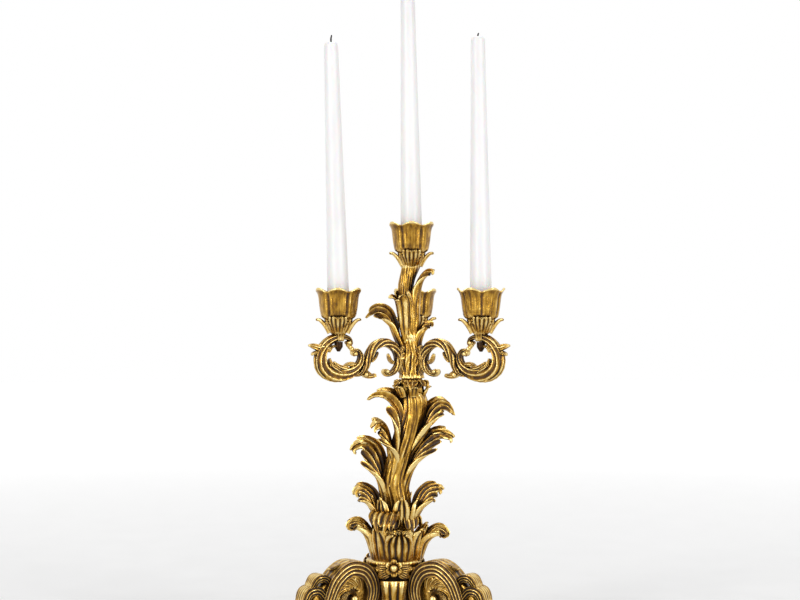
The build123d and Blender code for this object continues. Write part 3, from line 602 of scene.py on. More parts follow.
def dipped_wax():
    """Dipped wax with a pearl lacquer: near white, satin, with light sunk a little into it."""
    look = bpy.context.scene.holder_finish
    material, tree, shader = new_finish(
        "pearl_wax", Roughness=0.38, IOR=1.44, Subsurface_Weight=0.25, Subsurface_Scale=0.004,
        Coat_Weight=0.3, Coat_Roughness=0.2,
    )
    coloured(tree, shader, pattern(tree, 14.0, 2.0, (1, 1, 0.15)), (0.3, look.wax_shade), (0.6, look.wax))
    bumped(tree, shader, pattern(tree, 9.0, 2.0, (1, 1, 0.2)), 0.25, 0.25)
    return material


def charred_cotton():
    """Braided cotton in a fine random mottle of burnt black and waxed brown."""
    material, tree, shader = new_finish("charred_cotton", Roughness=0.9)
    coloured(tree, shader, pattern(tree, 0.7, 4.0), (0.35, from_hex("#0C0A09")), (0.7, from_hex("#2E2620")))
    bumped(tree, shader, pattern(tree, 0.5, 2.0), 0.7, 0.2)
    return material


FINISH_MAKERS = {
    "gilt": gilt_brass,
    "dark_nut": dark_brass,
    "steel": plain_steel,
    "felt": wool_felt,
    "wax": dipped_wax,
    "wick": charred_cotton,
}
# Materials by slot, filled by the finishes' operator before any piece is made
finishes = {}


# Places that the castings share, read from the frame, in millimetres
def low_of(node):
    """Height of a node's foot."""
    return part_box(node)[0].z / MM


def top_of(node):
    """Height of a node's top."""
    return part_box(node)[1].z / MM


# How far right of the base's axis the tiers and the hub stand, and the arms' reach to their cups
STEM_X = 3.0
HUB_X = 17.5
CUP_REACH = 80.5
ARM_AZIMUTHS = {"left": 207, "right": 327, "rear": 87}
LEG_AZIMUTHS = {"left": 210, "right": 330, "rear": 90}
GAP_AZIMUTHS = {"front": 270, "right": 30, "left": 150}
PLATE_Z = low_of("base_plate")
VASE_Z = low_of("lower_leaf_vase")
TIER_Z = low_of("upper_leaf_cup")
TRUNK_Z = low_of("trunk")
COLLAR_Z = low_of("collar")
HUB_Z = low_of("hub")
BRANCH_Z = top_of("hub")
CALYX_Z = {side: low_of(f"calyx_{side}") for side in (*ARM_AZIMUTHS, "centre")}
CUP_AXES = {side: np.array((HUB_X, 0, 0)) + polar(CUP_REACH, a) for side, a in ARM_AZIMUTHS.items()}
CUP_AXES["centre"] = np.array((HUB_X, 0.0, 0.0))
CUP_TURNS = {"left": 0, "right": 30, "rear": 0, "centre": 0}


# Base: plate, column, rosettes, brackets and legs
def plate_outline(reach=113.0, corner=44.0, waist=46.0, edge=7.0):
    """Three-cornered outline with hollow sides, one corner under each leg."""
    points = []
    for azimuth in LEG_AZIMUTHS.values():
        for side in (-1, 1):
            for step in range(7):
                turn = side * (6 - step if side < 0 else step) * 13.0
                centre = polar(reach - edge, azimuth) + side * polar(corner / 2 - edge, azimuth + 90)
                points.append(centre + polar(edge, azimuth + turn))
        start = points[-1]
        end = polar(reach, azimuth + 120) - polar(corner / 2, azimuth + 210)
        pull = 2 * polar(waist, azimuth + 60) - (start + end) / 2
        for t in np.linspace(0.05, 0.95, 24):
            points.append((1 - t) ** 2 * start + 2 * t * (1 - t) * pull + t**2 * end)
    outline = np.array(points)
    order = np.argsort(np.arctan2(outline[:, 1], outline[:, 0]), kind="stable")
    return outline[order]


def base_plate():
    """Plate with a stepped, rounded edge."""
    outline = plate_outline()
    steps = ((0.02, 0), (0.5, 0), (0.99, 0), (1, 0.5), (1, 1.8), (0.99, 2.5), (0.975, 2.6),
             (0.97, 3.4), (0.955, 4), (0.7, 4), (0.35, 4), (0.02, 4))
    rings = np.stack([outline * (s, s, 0) + (0, 0, PLATE_Z + z) for s, z in steps])
    return [skin(rings)]


def base_body():
    """Column with a cove and a moulded flange."""
    foot, top = low_of("base_body"), top_of("base_body")
    profile = [(0.3, foot), (20, foot), (24, foot), (24, foot + 20), (23.2, foot + 40), (24, top - 18),
               (25, top - 16), (26, top - 13), (28, top - 12), (28, top - 8), (27, top - 7), (27, top - 5),
               (28, top - 4), (28, top - 1.5), (26.5, top), (14, top), (0.3, top)]
    return [turned(profile, (0, 0, 0), 216, 36, 0.025)]


def facing(shell, azimuth, reach, height, tilt=0.0):
    """A shell made round the Z axis, turned to face outwards at an azimuth."""
    points, quads, tris = shell
    c, s = cos(radians(tilt)), sin(radians(tilt))
    x, y = c * points[:, 0] - s * points[:, 1], s * points[:, 0] + c * points[:, 1]
    moved = x[:, None] * polar(1, azimuth + 90) + points[:, 2][:, None] * polar(1, azimuth)
    moved = moved + polar(reach, azimuth) + (0, 0, height)
    moved[:, 2] += y
    return moved, quads, tris


def rosette(azimuth):
    """Bead in a ring of petals, with a spray of leaves to each side."""
    height = top_of("base_body") - 6
    petal = leaf((0, 0, 0), 0, rolled([(1.5, 0), (4, 2.2), (7, 3.4), (8.6, 2.6)], 1.2, -80),
                 ((0, 1.6), (0.6, 2.8), (1, 1.6)), (1, 0.92), 0.1, ((0, 30), (1, -30)),
                 thick=(1.6, 1.0), rib=0.5, rows=20, columns=13)
    spray = leaf((0, 0, 0), 0, rolled([(3, -1), (8, 2.5), (13, 2.2), (17, 0)], 1.6, -110),
                 ((0, 2), (0.5, 4.4), (0.85, 3.4), (1, 1.8)), (0.82, 0.95, 1, 0.9), 0.16, ((0, 40), (1, -55)),
                 thick=(2, 1.2), rib=0.9, rows=36, columns=25)
    flower = (ring_of(petal, 6, 90), ball((0, 0, 3.5), 3.7))
    shells = [facing(shell, azimuth, 28, height) for shell in flower]
    return shells + [facing(spray, azimuth, 27, height - 1, tilt) for tilt in (-28, 4, 176, 208)]


def bracket(azimuth, top=74.5, foot=14.0, back=21.0, rows=70, columns=45):
    """Waisted bracket of three round ribs, hollowed at its waist and hooded at its top."""
    share = np.linspace(0, 1, rows)
    u = np.linspace(-1, 1, columns)
    half = along(((0, 14), (0.5, 10), (0.85, 12.5), (1, 14)), share)[:, None]
    swell = along(((0, 9), (0.35, 6.5), (0.7, 7.5), (0.92, 9.5), (1, 8)), share)[:, None]
    ribs = 2.6 * np.abs(np.sin(1.5 * pi * (u + 1))) ** 0.7
    side = np.sqrt(1 - 0.6 * u**4)
    front = back + (swell + ribs[None]) * side[None]
    height = foot + (top - foot) * share[:, None] * np.ones_like(u)[None]
    height[-1] -= 1.0
    outs = (front, np.full_like(front, back))
    return [slab(*(upright((0, 0, 0), azimuth, out, -half * u, height) for out in outs))]


VOLUTE_LINE = (
    (98, 21), (101.5, 17), (98, 12), (91, 12.5), (86, 20), (83, 32), (80.5, 45), (77.5, 58), (68.5, 76),
    (53, 86), (37.5, 82), (29.5, 67), (33, 50), (47.5, 40), (60.5, 45), (62.5, 56), (55.5, 63.5), (48, 60),
    (47.5, 54),
)
VOLUTE_HEIGHTS = ((0, 4), (0.06, 7), (0.14, 10), (0.27, 13), (0.42, 16), (0.55, 16), (0.7, 12), (0.85, 7.5),
                  (1, 3.5))
VOLUTE_WIDTHS = ((0, 18), (0.1, 22), (0.45, 25), (0.7, 24), (0.88, 19), (1, 13))
VOLUTE_HOLLOW = np.array((51.5, 62.0))
# Web that fills the scroll: its outline, and its (scale, half thickness) rings from side to side
WEB_LINE = ((31, 60), (40, 78), (56, 84), (76, 76), (94, 60), (96, 42), (88, 22), (60, 36), (36, 44),
            (31, 60))
WEB_RINGS = ((0.02, 3.5), (0.5, 4), (0.9, 6), (1, 5), (1, -5), (0.9, -6), (0.5, -4), (0.02, -3.5))


def leg(azimuth):
    """Scroll leg: a fluted band that winds into a volute, with curling lobes inside and outside it."""
    here = (0, 0, 0)
    shells = [band(here, azimuth, VOLUTE_LINE, VOLUTE_HEIGHTS, VOLUTE_WIDTHS, (4, 3), 0.1,
                   squareness=0.75, ends=(2, 2), around=120, spacing=0.9)]
    web = line_through(WEB_LINE, 90)[:-1]
    centre = web.mean(0)
    rings = []
    for scale, across in WEB_RINGS:
        flat = centre + (web - centre) * scale
        rings.append(upright(here, azimuth, flat[:, 0], np.full(len(flat), across), flat[:, 1]))
    shells.append(skin(np.stack(rings)))
    for side in (-1, 1):
        for i, angle in enumerate((-18, 10, 38, 66, 94)):
            turns = [radians(angle + step) for step in (0, 20, 42, 58)]
            radii = (20, 17.5, 12.5, 9.5)
            hook = [VOLUTE_HOLLOW + (r * cos(t), r * 0.86 * sin(t)) for r, t in zip(radii, turns)]
            aside = ((0, side * 6.5), (1, side * (8.5 - 0.4 * i)))
            shells.append(band(here, azimuth, rolled(hook, 2.2, 130), ((0, 8), (0.5, 6), (1, 2.6)),
                               ((0, 9), (1, 5)), (2, 2), 0.16, ends=(2, 1.5), shift=aside, around=40,
                               spacing=0.7))
        shells.append(ball(polar(49.5, azimuth) + side * polar(8.5, azimuth - 90) + (0, 0, 56), 4.2))
    for hook, heights, width in (
        (rolled([(73, 68), (80, 78), (88, 78.5), (93, 73)], 3.6, -190), ((0, 6), (0.5, 8), (1, 4)), 19),
        (rolled([(79, 56), (89, 67), (98, 66), (102.5, 58)], 4.2, -190), ((0, 7), (0.5, 10), (1, 4.5)), 22),
        (rolled([(82, 40), (93, 50), (101, 48), (104, 40)], 3.8, -190), ((0, 7), (0.5, 9), (1, 4)), 20),
        (rolled([(60, 91), (67, 88.5), (72, 86)], 1.2, 160), ((0, 1.4), (0.6, 2.6), (1, 2)), 9),
    ):
        widths = ((0, width), (0.6, width), (1, width * 0.7))
        shells.append(band(here, azimuth, hook, heights, widths, (3, 5), 0.16, ends=(1.5, 2), around=84))
    shells.append(band(here, azimuth, ((80, 7.5), (93, 7.5), (106, 7.5)), ((0, 3), (1, 3)),
                       ((0, 24), (1, 24)), (1, 1), 0.02, squareness=0.9, ends=(1, 1), around=48))
    return shells


# Stem: two tiers of leaves, the trunk with its leaves, the collar and the hub
def vase():
    """Lower tier: a bell of ribbed leaves whose broad tips roll over."""
    foot = (STEM_X, 0, VASE_Z)
    core = turned([(0.3, 0), (22, 0), (24.5, 0.5), (23, 4), (21.5, 10), (21.5, 18), (19, 24), (16.5, 28),
                   (16, 36), (0.3, 36)], foot, 120, 14, 0.1)
    left = rolled([(21.5, -1), (23.5, 10), (26, 20), (31, 30), (38, 37), (44.5, 36.5)], 5.4, -215, 0.7)
    right = rolled([(21.5, -1), (23.5, 8), (27, 18), (34, 26.5), (42, 31), (48, 28.5)], 5.2, -205, 0.7)
    front = rolled([(21.5, -1), (24, 10), (26.5, 20), (30, 28.5), (35, 32)], 3.2, -170)
    back = rolled([(21.5, -1), (23.5, 10), (27, 20), (34, 29), (42, 32.5), (48, 29)], 4.2, -180)
    broad = ((0, 12.5), (0.3, 14.5), (0.5, 12), (0.68, 10), (0.85, 12), (1, 9.5))
    bend = ((0, 38), (0.45, 30), (0.7, -25), (1, -55))
    tips = (0.78, 0.9, 1, 0.92, 0.8)
    shells = [core]
    for azimuth, line, turn in ((180, left, 40), (0, right, -40), (90, back, 0)):
        twist = ((0, 0), (0.4, 0), (0.8, turn), (1, turn))
        shells.append(leaf(foot, azimuth, line, broad, tips, 0.12, bend, twist, thick=(4, 3.4), rib=1.5,
                           rows=96, columns=61))
    shells.append(leaf(foot, 274, front, ((0, 12), (0.4, 14), (0.7, 12), (1, 8)), (0.8, 1, 0.86, 1, 0.8), 0.2,
                       bend, thick=(4, 2), rib=1.5, rows=80, columns=61))
    filler = leaf((0, 0, 0), 0, rolled([(20.5, 0), (22.5, 10), (24.5, 20), (27.5, 29), (31, 33)], 2.4, -160),
                  ((0, 9), (0.4, 11), (0.75, 7.5), (1, 4)), (0.84, 1, 0.84), 0.14,
                  ((0, 32), (0.5, 25), (1, -45)), thick=(3.2, 1.6), rib=1.3, rows=64, columns=37)
    shells.append(ring_of(filler, 7, 20, foot, seed=3, turn_jitter=9, scale_jitter=0.05))
    return shells


def leaf_cup():
    """Upper tier: a rim round the trunk, leaves that roll outwards, one folded down in front and a skirt."""
    foot = (STEM_X, 0, TIER_Z)
    rim = turned([(0.3, 0), (16, 0), (18.5, 3), (18, 8), (18.4, 12), (19, 15), (17.5, 16), (15, 13), (14, 8),
                  (0.3, 7)], foot, 120, 9, 0.14)
    left = rolled([(15, -1), (18.5, 10), (22.5, 21), (27, 31), (33, 36.5)], 5.6, -215, 0.7)
    right = rolled([(15, -1), (18, 12), (24, 26), (32, 36.5), (40, 38.5)], 4.4, -170)
    back = rolled([(15, -1), (18, 12), (23, 24), (30, 33), (37, 35)], 4.4, -180)
    fold = rolled([(15, 0), (20, 11), (27, 17.5), (35, 16), (41, 8), (42, -2)], 2.6, -60)
    broad = ((0, 8), (0.3, 12), (0.6, 15), (0.85, 15), (1, 11))
    bend = ((0, 40), (0.5, 25), (0.75, -25), (1, -50))
    tips = (0.8, 0.92, 1, 0.92, 0.8)
    shells = [rim]
    for azimuth, line, turn in ((187, left, 48), (350, right, -54), (90, back, 0)):
        twist = ((0, 0), (0.5, turn * 0.6), (1, turn))
        shells.append(leaf(foot, azimuth, line, broad, tips, 0.12, bend, twist, thick=(3.4, 3.2), rib=1.4,
                           rows=80, columns=51))
    shells.append(leaf(foot, 246, fold, ((0, 9), (0.35, 13), (0.6, 16), (0.85, 14), (1, 8)),
                       (0.82, 1, 0.85, 1, 0.8), 0.24, ((0, 40), (0.4, 10), (0.7, -35), (1, -60)),
                       thick=(3.4, 1.8), rib=1.6, rows=80, columns=51))
    lobes, bow = (0.85, 1, 0.85), ((0, 35), (1, -40))
    filler = leaf((0, 0, 0), 0, rolled([(15, 0), (18, 8), (19.5, 16), (20.5, 24), (23, 30)], 1.8, -140),
                  ((0, 6), (0.5, 8.5), (1, 4)), lobes, 0.16, bow, thick=(2.6, 1.5), rows=40, columns=25)
    shells.append(ring_of(filler, 7, 20, foot, seed=5, turn_jitter=12, scale_jitter=0.1))
    skirt = leaf((0, 0, 0), 0, rolled([(15, 9), (19.5, 12.5), (23.5, 9.5), (25.5, 3), (26, -3)], 1.5, -60),
                 ((0, 6), (0.5, 9.5), (1, 6)), lobes, 0.16, bow, thick=(2.6, 1.6), rows=36, columns=25)
    shells.append(ring_of(skirt, 7, 5, foot, seed=9, turn_jitter=8, scale_jitter=0.06))
    return shells


# Swaying stems: share of the height, how far aside of the foot, radius
TRUNK_STATIONS = ((0, 3, 13.4), (0.12, 2.5, 13.4), (0.28, 0.8, 13.4), (0.45, 6, 13), (0.58, 10.5, 13),
                  (0.71, 15, 13.2), (0.85, 19.2, 12.8), (0.95, 19.8, 12.6), (1, 18.5, 10.5))
HUB_STATIONS = ((0, 0, 12.5), (0.2, 0, 11), (0.5, 0, 10.6), (0.8, 0, 10.6), (1, 0, 11))
BRANCH_STATIONS = ((0, 0, 10.4), (0.38, -3.5, 8.4), (0.74, -5, 7.8), (1, 0, 9.4))

# Leaves of the trunk and the branch: origin, azimuth, line, half widths, finger ends, twist, roll
STEM_LEAVES = {
    "leaf_left_low": dict(
        origin=(4, 0, 146), azimuth=186, roll=(4.6, -150),
        line=((8, -16), (12.5, 0), (14, 14), (16, 28), (20.5, 42), (27.5, 54), (36, 59.5), (42, 57)),
        widths=((0, 5), (0.25, 6.5), (0.42, 11), (0.6, 17), (0.8, 18), (1, 12)),
        ends=(0.7, 0.85, 1, 0.95, 0.86), notch=0.12, twist=62,
    ),
    "leaf_left_mid": dict(
        origin=(8, 0, 175), azimuth=214, roll=(4.2, -130),
        line=((7, -14), (9, 3), (10, 20), (13, 34), (19, 46), (25, 51), (30, 49)),
        widths=((0, 4.5), (0.3, 7), (0.5, 14), (0.72, 18), (0.9, 17), (1, 12)),
        ends=(0.74, 0.88, 1, 0.94, 0.86), notch=0.14, twist=54,
    ),
    "leaf_left_high": dict(
        origin=(9.5, -10, 190), azimuth=174, roll=(3, -50),
        line=((12, -26), (9, -8), (6, 8), (3, 22), (1.5, 36), (3.5, 50), (10.5, 61), (20, 66.5), (30, 66),
              (36, 62)),
        widths=((0, 1), (0.12, 3.5), (0.4, 6), (0.55, 11), (0.72, 14), (0.88, 12), (1, 8)),
        ends=(0.74, 1, 0.9), notch=0.1, twist=58,
    ),
    "leaf_right_high": dict(
        origin=(15, 0, 213), azimuth=2, roll=(3.5, -60),
        line=((-5, -26), (4, -11), (12, 4), (16.5, 17), (22, 28), (31, 35), (40, 32), (46, 24)),
        widths=((0, 5), (0.25, 8), (0.5, 15), (0.72, 16), (0.9, 10), (1, 4.5)),
        ends=(0.86, 0.95, 1, 0.95, 0.86), notch=0.08, twist=-40,
    ),
    "leaf_right_low": dict(
        origin=(3, 0, 162), azimuth=346, roll=(4.2, -150),
        line=((5, -24), (7, -8), (9, 8), (14, 24), (22, 38), (32, 48), (43, 54), (53, 52)),
        widths=((0, 4.5), (0.35, 6), (0.52, 10), (0.72, 15), (0.88, 17), (1, 12)),
        ends=(0.86, 0.95, 1, 0.86, 0.74), notch=0.14, twist=-60,
    ),
    "branch_leaf_left": dict(
        origin=(17.5, 0, 305), azimuth=184, roll=(2, -30),
        line=((9, -4), (14.5, 10), (18.5, 23), (25, 33), (34, 35.5), (42, 31.5), (46, 28)),
        widths=((0, 4), (0.3, 6), (0.5, 9.5), (0.72, 10), (0.9, 7.5), (1, 4.5)),
        ends=(0.88, 1, 0.9), notch=0.06, twist=60,
    ),
    "branch_leaf_front": dict(
        origin=(17.5, 0, 312), azimuth=222, roll=(1.5, -120),
        line=((8, -4), (10.5, 8), (12.5, 20), (14.5, 31), (17, 37.5), (19.5, 39.5)),
        widths=((0, 4), (0.3, 7.5), (0.6, 11.5), (0.82, 15), (1, 17)),
        ends=(0.92, 1, 0.94, 1, 0.93), notch=0.05, twist=0, rib=1.0, thick=(2.6, 1.6),
        arch=((0, 150), (0.4, 145), (0.8, 130), (1, 120)),
    ),
    "branch_leaf_upper": dict(
        origin=(14, 0, 345), azimuth=325, roll=(4.2, -170), thick=(4.6, 3.2),
        line=((7, -32), (8, -14), (7.8, 4), (8.5, 18), (13, 28), (20.5, 34.5), (26, 35.5)),
        widths=((0, 4), (0.35, 5.5), (0.6, 7.5), (0.8, 8.5), (1, 8)),
        ends=(0.92, 1, 0.92), notch=0.06, twist=-30,
    ),
    "branch_leaf_lower": dict(
        origin=(17.5, 0, 303), azimuth=345, roll=(3.6, -170), thick=(4.4, 3.0),
        line=((5, -4), (6, 8), (8.5, 17), (13, 24), (18.5, 25)),
        widths=((0, 4.5), (0.4, 7), (0.75, 8), (1, 7)),
        ends=(0.9, 1, 0.9), notch=0.08, twist=-30,
    ),
}
STEM_ARCH = ((0, 95), (0.3, 70), (0.55, 5), (0.8, -45), (1, -65))


def stem_leaf(origin, azimuth, line, roll, widths, ends, notch, twist, arch=STEM_ARCH, rib=1.5,
              thick=(3.6, 3.6)):
    """Leaf that leaves its stem as a gutter-shaped stalk, spreads, and rolls over at its tip."""
    turn = ((0, 0), (0.4, 0.3 * twist), (0.75, twist), (1, twist))
    return [leaf(origin, azimuth, rolled(line, *roll), widths, ends, notch, arch, turn,
                 thick=thick, rib=rib, rows=120, columns=61)]


def collar():
    """Neck with six small leaves that curl outwards."""
    foot = (HUB_X, 0, COLLAR_Z)
    neck = turned([(0.3, -1), (13, -1), (12.4, 4), (11.6, 9), (11, 12), (10.5, 14), (0.3, 14)], foot, 120, 11,
                  0.14)
    small = leaf((0, 0, 0), 0, rolled([(9, 5), (11.4, 10), (15, 12.6), (18.4, 9.6), (19.4, 4.5)], 1.8, -120),
                 ((0, 5), (0.4, 7.4), (0.75, 6.4), (1, 2.6)), (0.84, 1, 0.8), 0.2,
                 ((0, 40), (0.5, -20), (1, -70)), thick=(2.6, 1.5), rows=52, columns=37)
    under = leaf((0, 0, 0), 0, rolled([(11, -4), (13.5, 2), (15.5, 6), (18.5, 6.6)], 1.6, -150),
                 ((0, 4), (0.5, 5.6), (1, 2.2)), (0.86, 1, 0.86), 0.14, ((0, 40), (1, -40)),
                 thick=(2.4, 1.4), rib=0.9, rows=40, columns=31)
    return [neck, ring_of(small, 6, 25, foot, seed=2, turn_jitter=9, scale_jitter=0.05),
            ring_of(under, 5, 0, foot, seed=9, turn_jitter=9, scale_jitter=0.08)]


# Arms: reach from the hub's axis and height above the hub's foot
ARCH_LINE = ((29.8, 9.5), (31.5, 6.8), (28.5, 3.8), (21.5, 6), (15.8, 13), (15, 22), (20.5, 31.5), (31, 35.8),
             (41.5, 32), (48, 22), (51.5, 12), (57, 5.5), (64, 3.5))
ARCH_HEIGHTS = ((0, 2.5), (0.08, 4.2), (0.25, 7.5), (0.5, 9.2), (0.7, 9), (0.88, 6.5), (1, 3))
RING_LINE = ((70.5, 33.2), (67.6, 35), (69, 39.5), (75, 42), (84, 41.2), (94, 35), (100, 24), (98.5, 13),
             (90, 6), (79, 4.2), (67, 7), (58.5, 14.5), (56.6, 22.5), (60.5, 28.4), (65.5, 27), (64.8, 23.6))
RING_HEIGHTS = ((0, 2.6), (0.08, 4.5), (0.2, 8.5), (0.32, 11), (0.5, 15), (0.66, 13), (0.82, 8), (0.93, 4.4),
                (1, 2.6))


def arm(azimuth):
    """Pierced arm: an arch and a ring of fluted bands with beads, lobes and a bud at its end."""
    hub = (HUB_X, 0, HUB_Z)
    wide = ((0, 7), (0.2, 10), (0.8, 10.5), (1, 7))
    shells = [
        band(hub, azimuth, ARCH_LINE, ARCH_HEIGHTS, wide, (2, 2), 0.24, swirl=3.4, squareness=0.3,
             ends=(1.2, 1.5), around=64, spacing=0.6),
        band(hub, azimuth, RING_LINE, RING_HEIGHTS, wide, (2, 2), 0.24, swirl=-1.5, squareness=0.3,
             ends=(1.2, 1.2), around=72, spacing=0.6),
        band(hub, azimuth, ((7, 21), (11, 20), (17, 20)), ((0, 12), (1, 10)), ((0, 9), (1, 9)), (2, 2), 0.15,
             ends=(1, 1), around=48),
        band(hub, azimuth, ((9, 3), (12, 9), (14, 16), (13, 26), (10, 33)), ((0, 4), (0.5, 6), (1, 3)),
             ((0, 8), (0.5, 10), (1, 7)), (2, 3), 0.18, ends=(1.5, 1.5), around=48),
    ]
    for hook, heights, width in (
        (rolled([(66, 5), (72, 10), (79, 12), (84, 15.5)], 1.6, 120), ((0, 4), (0.5, 6), (1, 2.4)), 9),
        (rolled([(75, 4.5), (82, 9), (88, 13), (90, 18.5)], 1.6, 120), ((0, 4), (0.5, 6), (1, 2.4)), 9.5),
        (rolled([(60, 9), (63, 14), (69, 15), (74, 13)], 1.4, -120), ((0, 4), (0.5, 5), (1, 2.2)), 8),
        (rolled([(92, 27), (88.5, 32), (84, 33)], 1.2, 100), ((0, 3.5), (1, 2.4)), 8),
        (rolled([(46, 17), (42, 20), (38.5, 25)], 1.2, -120), ((0, 3.5), (1, 2)), 7.5),
        (rolled([(20, 15), (24, 18), (26, 23)], 1.2, 120), ((0, 4), (1, 2)), 7.5),
        (rolled([(46, 4), (50.5, 7.5), (52.5, 12)], 1.0, 90), ((0, 4), (1, 2.4)), 7),
        (rolled([(40, 4), (46, 2.6), (52, 3)], 1.6, 160), ((0, 4), (0.5, 5), (1, 2.4)), 8.5),
        ([(90, 29), (97, 32.5), (103, 32), (108.5, 33.5), (113, 34)],
         ((0, 5), (0.5, 6.5), (0.75, 6), (1, 1.6)), 9),
        (rolled([(98, 24), (103, 27), (107.5, 26)], 1.4, -140), ((0, 4), (0.6, 4), (1, 2)), 8),
    ):
        widths = ((0, width), (0.7, width * 0.9), (1, width * 0.55))
        shells.append(band(hub, azimuth, hook, heights, widths, (2, 3), 0.2, squareness=0.3, ends=(1.2, 1.2),
                           around=44, spacing=0.6))
    hub = np.array(hub, float)
    for reach, height, radius in ((28.4, 7.2, 2.6), (70.2, 36, 2.6), (63.4, 25, 2.6), (52, 4.5, 3)):
        middle = hub + polar(reach, azimuth) + (0, 0, height)
        for aside, share in ((0, 1), (3.6, 0.8), (-3.6, 0.8)):
            shells.append(ball(middle + aside * polar(1, azimuth - 90), radius * share))
    chain = [hub + polar(r, azimuth) + (0, 0, z) for r, z in ((70, 34), (67.5, 31), (64.5, 28))]
    shells.append(beads_along(chain, 4, 2.5))
    seat = hub + polar(CUP_REACH, azimuth)
    pad = [(0.3, 37.5), (5, 37.5), (6.2, 40), (6.2, 44), (7.6, 45.4), (8.6, 47), (0.3, 47)]
    shells.append(turned(pad, seat, 96, 12, 0.2))
    return shells


# Cups, calyxes and candles: sizes of the sockets and of the candles' feet, and the candles' leans in degrees
SOCKET_R = 11.4
SOCKET_FLOOR = 4.5
SOCKET_DEPTH = 21.5
CANDLE_R = 10.7
CANDLE_TIP_R = 6.9
LEANS = {"left": 1.65, "right": 0.66, "centre": 0.9}


def calyx(side):
    """Fluted cone with two narrow leaves that end in beads and broad leaves between them."""
    seat = CUP_AXES[side] + (0, 0, CALYX_Z[side])
    cone = turned([(0.3, 0), (8.8, 0), (9.4, 1.5), (10.2, 4), (12.4, 8), (13.8, 11), (14, 12), (0.3, 12)],
                  seat, 128, 16, 0.08)
    narrow = leaf((0, 0, 0), 0, rolled([(8, -1), (10.6, 4), (14, 9.2), (18, 12.8), (20.6, 13.2)], 1.7, -230),
                  ((0, 3.6), (0.4, 4.6), (0.75, 3.8), (1, 2.6)), (1.0, 1.0), 0.0,
                  ((0, 60), (0.6, 10), (1, -30)), thick=(3.2, 2.0), rib=0.9, rows=60, columns=25)
    broad = leaf((0, 0, 0), 0,
                 rolled([(7.6, -0.5), (11.2, 4.5), (15.4, 9.5), (18.4, 13.2), (20, 14.6)], 1.1, -120),
                 ((0, 4.6), (0.4, 7.4), (0.8, 9.4), (1, 8.6)), (0.86, 0.96, 1, 0.96, 0.86), 0.1,
                 ((0, 45), (1, 42)), thick=(2.2, 1.2), rib=0.8, rows=44, columns=41)
    small = leaf((0, 0, 0), 0, rolled([(8, 0), (10.6, 4), (13, 8), (15, 9.6)], 1.0, -110),
                 ((0, 3.4), (0.6, 4.6), (1, 2.6)), (0.9, 1, 0.9), 0.1, ((0, 35), (1, 20)),
                 thick=(1.8, 1.1), rib=0.6, rows=30, columns=19)
    return [cone, ring_of(narrow, 2, 0, seat), ring_of(broad, 2, 90, seat),
            ring_of(small, 4, 45, seat, seed=4, turn_jitter=4)]


def cup(side):
    """Cup of six petals with grooves between them, a wavy lip whose tips curl, and a candle socket."""
    groove_deep = bpy.context.scene.holder_form.petal_groove / MM
    foot = low_of(f"cup_{side}")
    height = top_of(f"cup_{side}") - foot
    mouth_z = SOCKET_FLOOR + SOCKET_DEPTH
    around = 288
    theta = np.linspace(0, 360, around, endpoint=False)
    place = ((theta - CUP_TURNS[side]) % 60) / 60
    crown = np.sin(pi * place)
    groove = np.exp(-(np.minimum(place, 1 - place) / 0.08) ** 2)
    spoon = np.exp(-((place - 0.5) / 0.2) ** 2)
    rows = []
    keys = np.array(((0, 13.5, 0), (0.1, 16.4, 2.2), (0.3, 18.2, 7.8), (0.55, 19.3, 15.5), (0.8, 20, 23),
                     (1, 20.6, 28.6)))
    ripple = 0.07 * np.sin(np.radians(theta) * 42 + 2 * np.sin(np.radians(theta) * 5))
    for t in np.linspace(0, 1, 56):
        r = along(keys[:, [0, 1]], t) - groove_deep * groove * min(1, 4 * t) - 0.4 * spoon * sin(pi * t)
        r = r + ripple * sin(pi * t) + 2.5 * t**9 * (0.5 + 0.5 * crown**2)
        z = along(keys[:, [0, 2]], t) * (1 - 0.1 * (1 - crown) * t**4)
        rows.append((r, z))
    lip_r, lip_z = rows[-1]
    curl = 0.75 + 0.65 * crown**4
    for angle in (30, 60, 90, 120, 150, 180, 210):
        ahead, aside = sin(radians(angle)), 1 - cos(radians(angle))
        out, up = 0.85 * ahead - 0.5 * aside, 0.5 * ahead + 0.85 * aside
        rows.append((lip_r + curl * out, lip_z + curl * up))
    last_r, last_z = rows[-1]
    dish = np.full(around, SOCKET_R + 5.0)
    for t in np.linspace(0.12, 1, 12):
        rows.append((last_r * (1 - t) + dish * t, last_z * (1 - t) + (mouth_z - 0.4) * t - 1.6 * sin(pi * t)))
    for r, z in ((SOCKET_R + 4.4, mouth_z), (SOCKET_R + 0.8, mouth_z), (SOCKET_R, mouth_z - 0.8),
                 (SOCKET_R, 15), (SOCKET_R, SOCKET_FLOOR), (6, SOCKET_FLOOR), (0.3, SOCKET_FLOOR)):
        rows.append((np.full(around, r), np.full(around, z)))
    first = [(np.full(around, 0.3), np.zeros(around)), (np.full(around, 8.0), np.zeros(around))]
    rings = np.zeros((len(rows) + 2, around, 3))
    for i, (r, z) in enumerate(first + rows):
        rings[i, :, 0] = r * np.cos(np.radians(theta))
        rings[i, :, 1] = r * np.sin(np.radians(theta))
        rings[i, :, 2] = np.minimum(z, height)
    return [skin(rings + CUP_AXES[side] + (0, 0, foot))]


def leaned(shell, side):
    """A shell made round the Z axis, leaned about the middle of its socket."""
    points, quads, tris = shell
    middle = CUP_AXES[side] + (0, 0, low_of(f"cup_{side}") + SOCKET_FLOOR + SOCKET_DEPTH / 2)
    a = radians(LEANS[side])
    x, y, z = points.T
    moved = np.stack((cos(a) * x - sin(a) * z, y, sin(a) * x + cos(a) * z), axis=1)
    return moved + middle, quads, tris


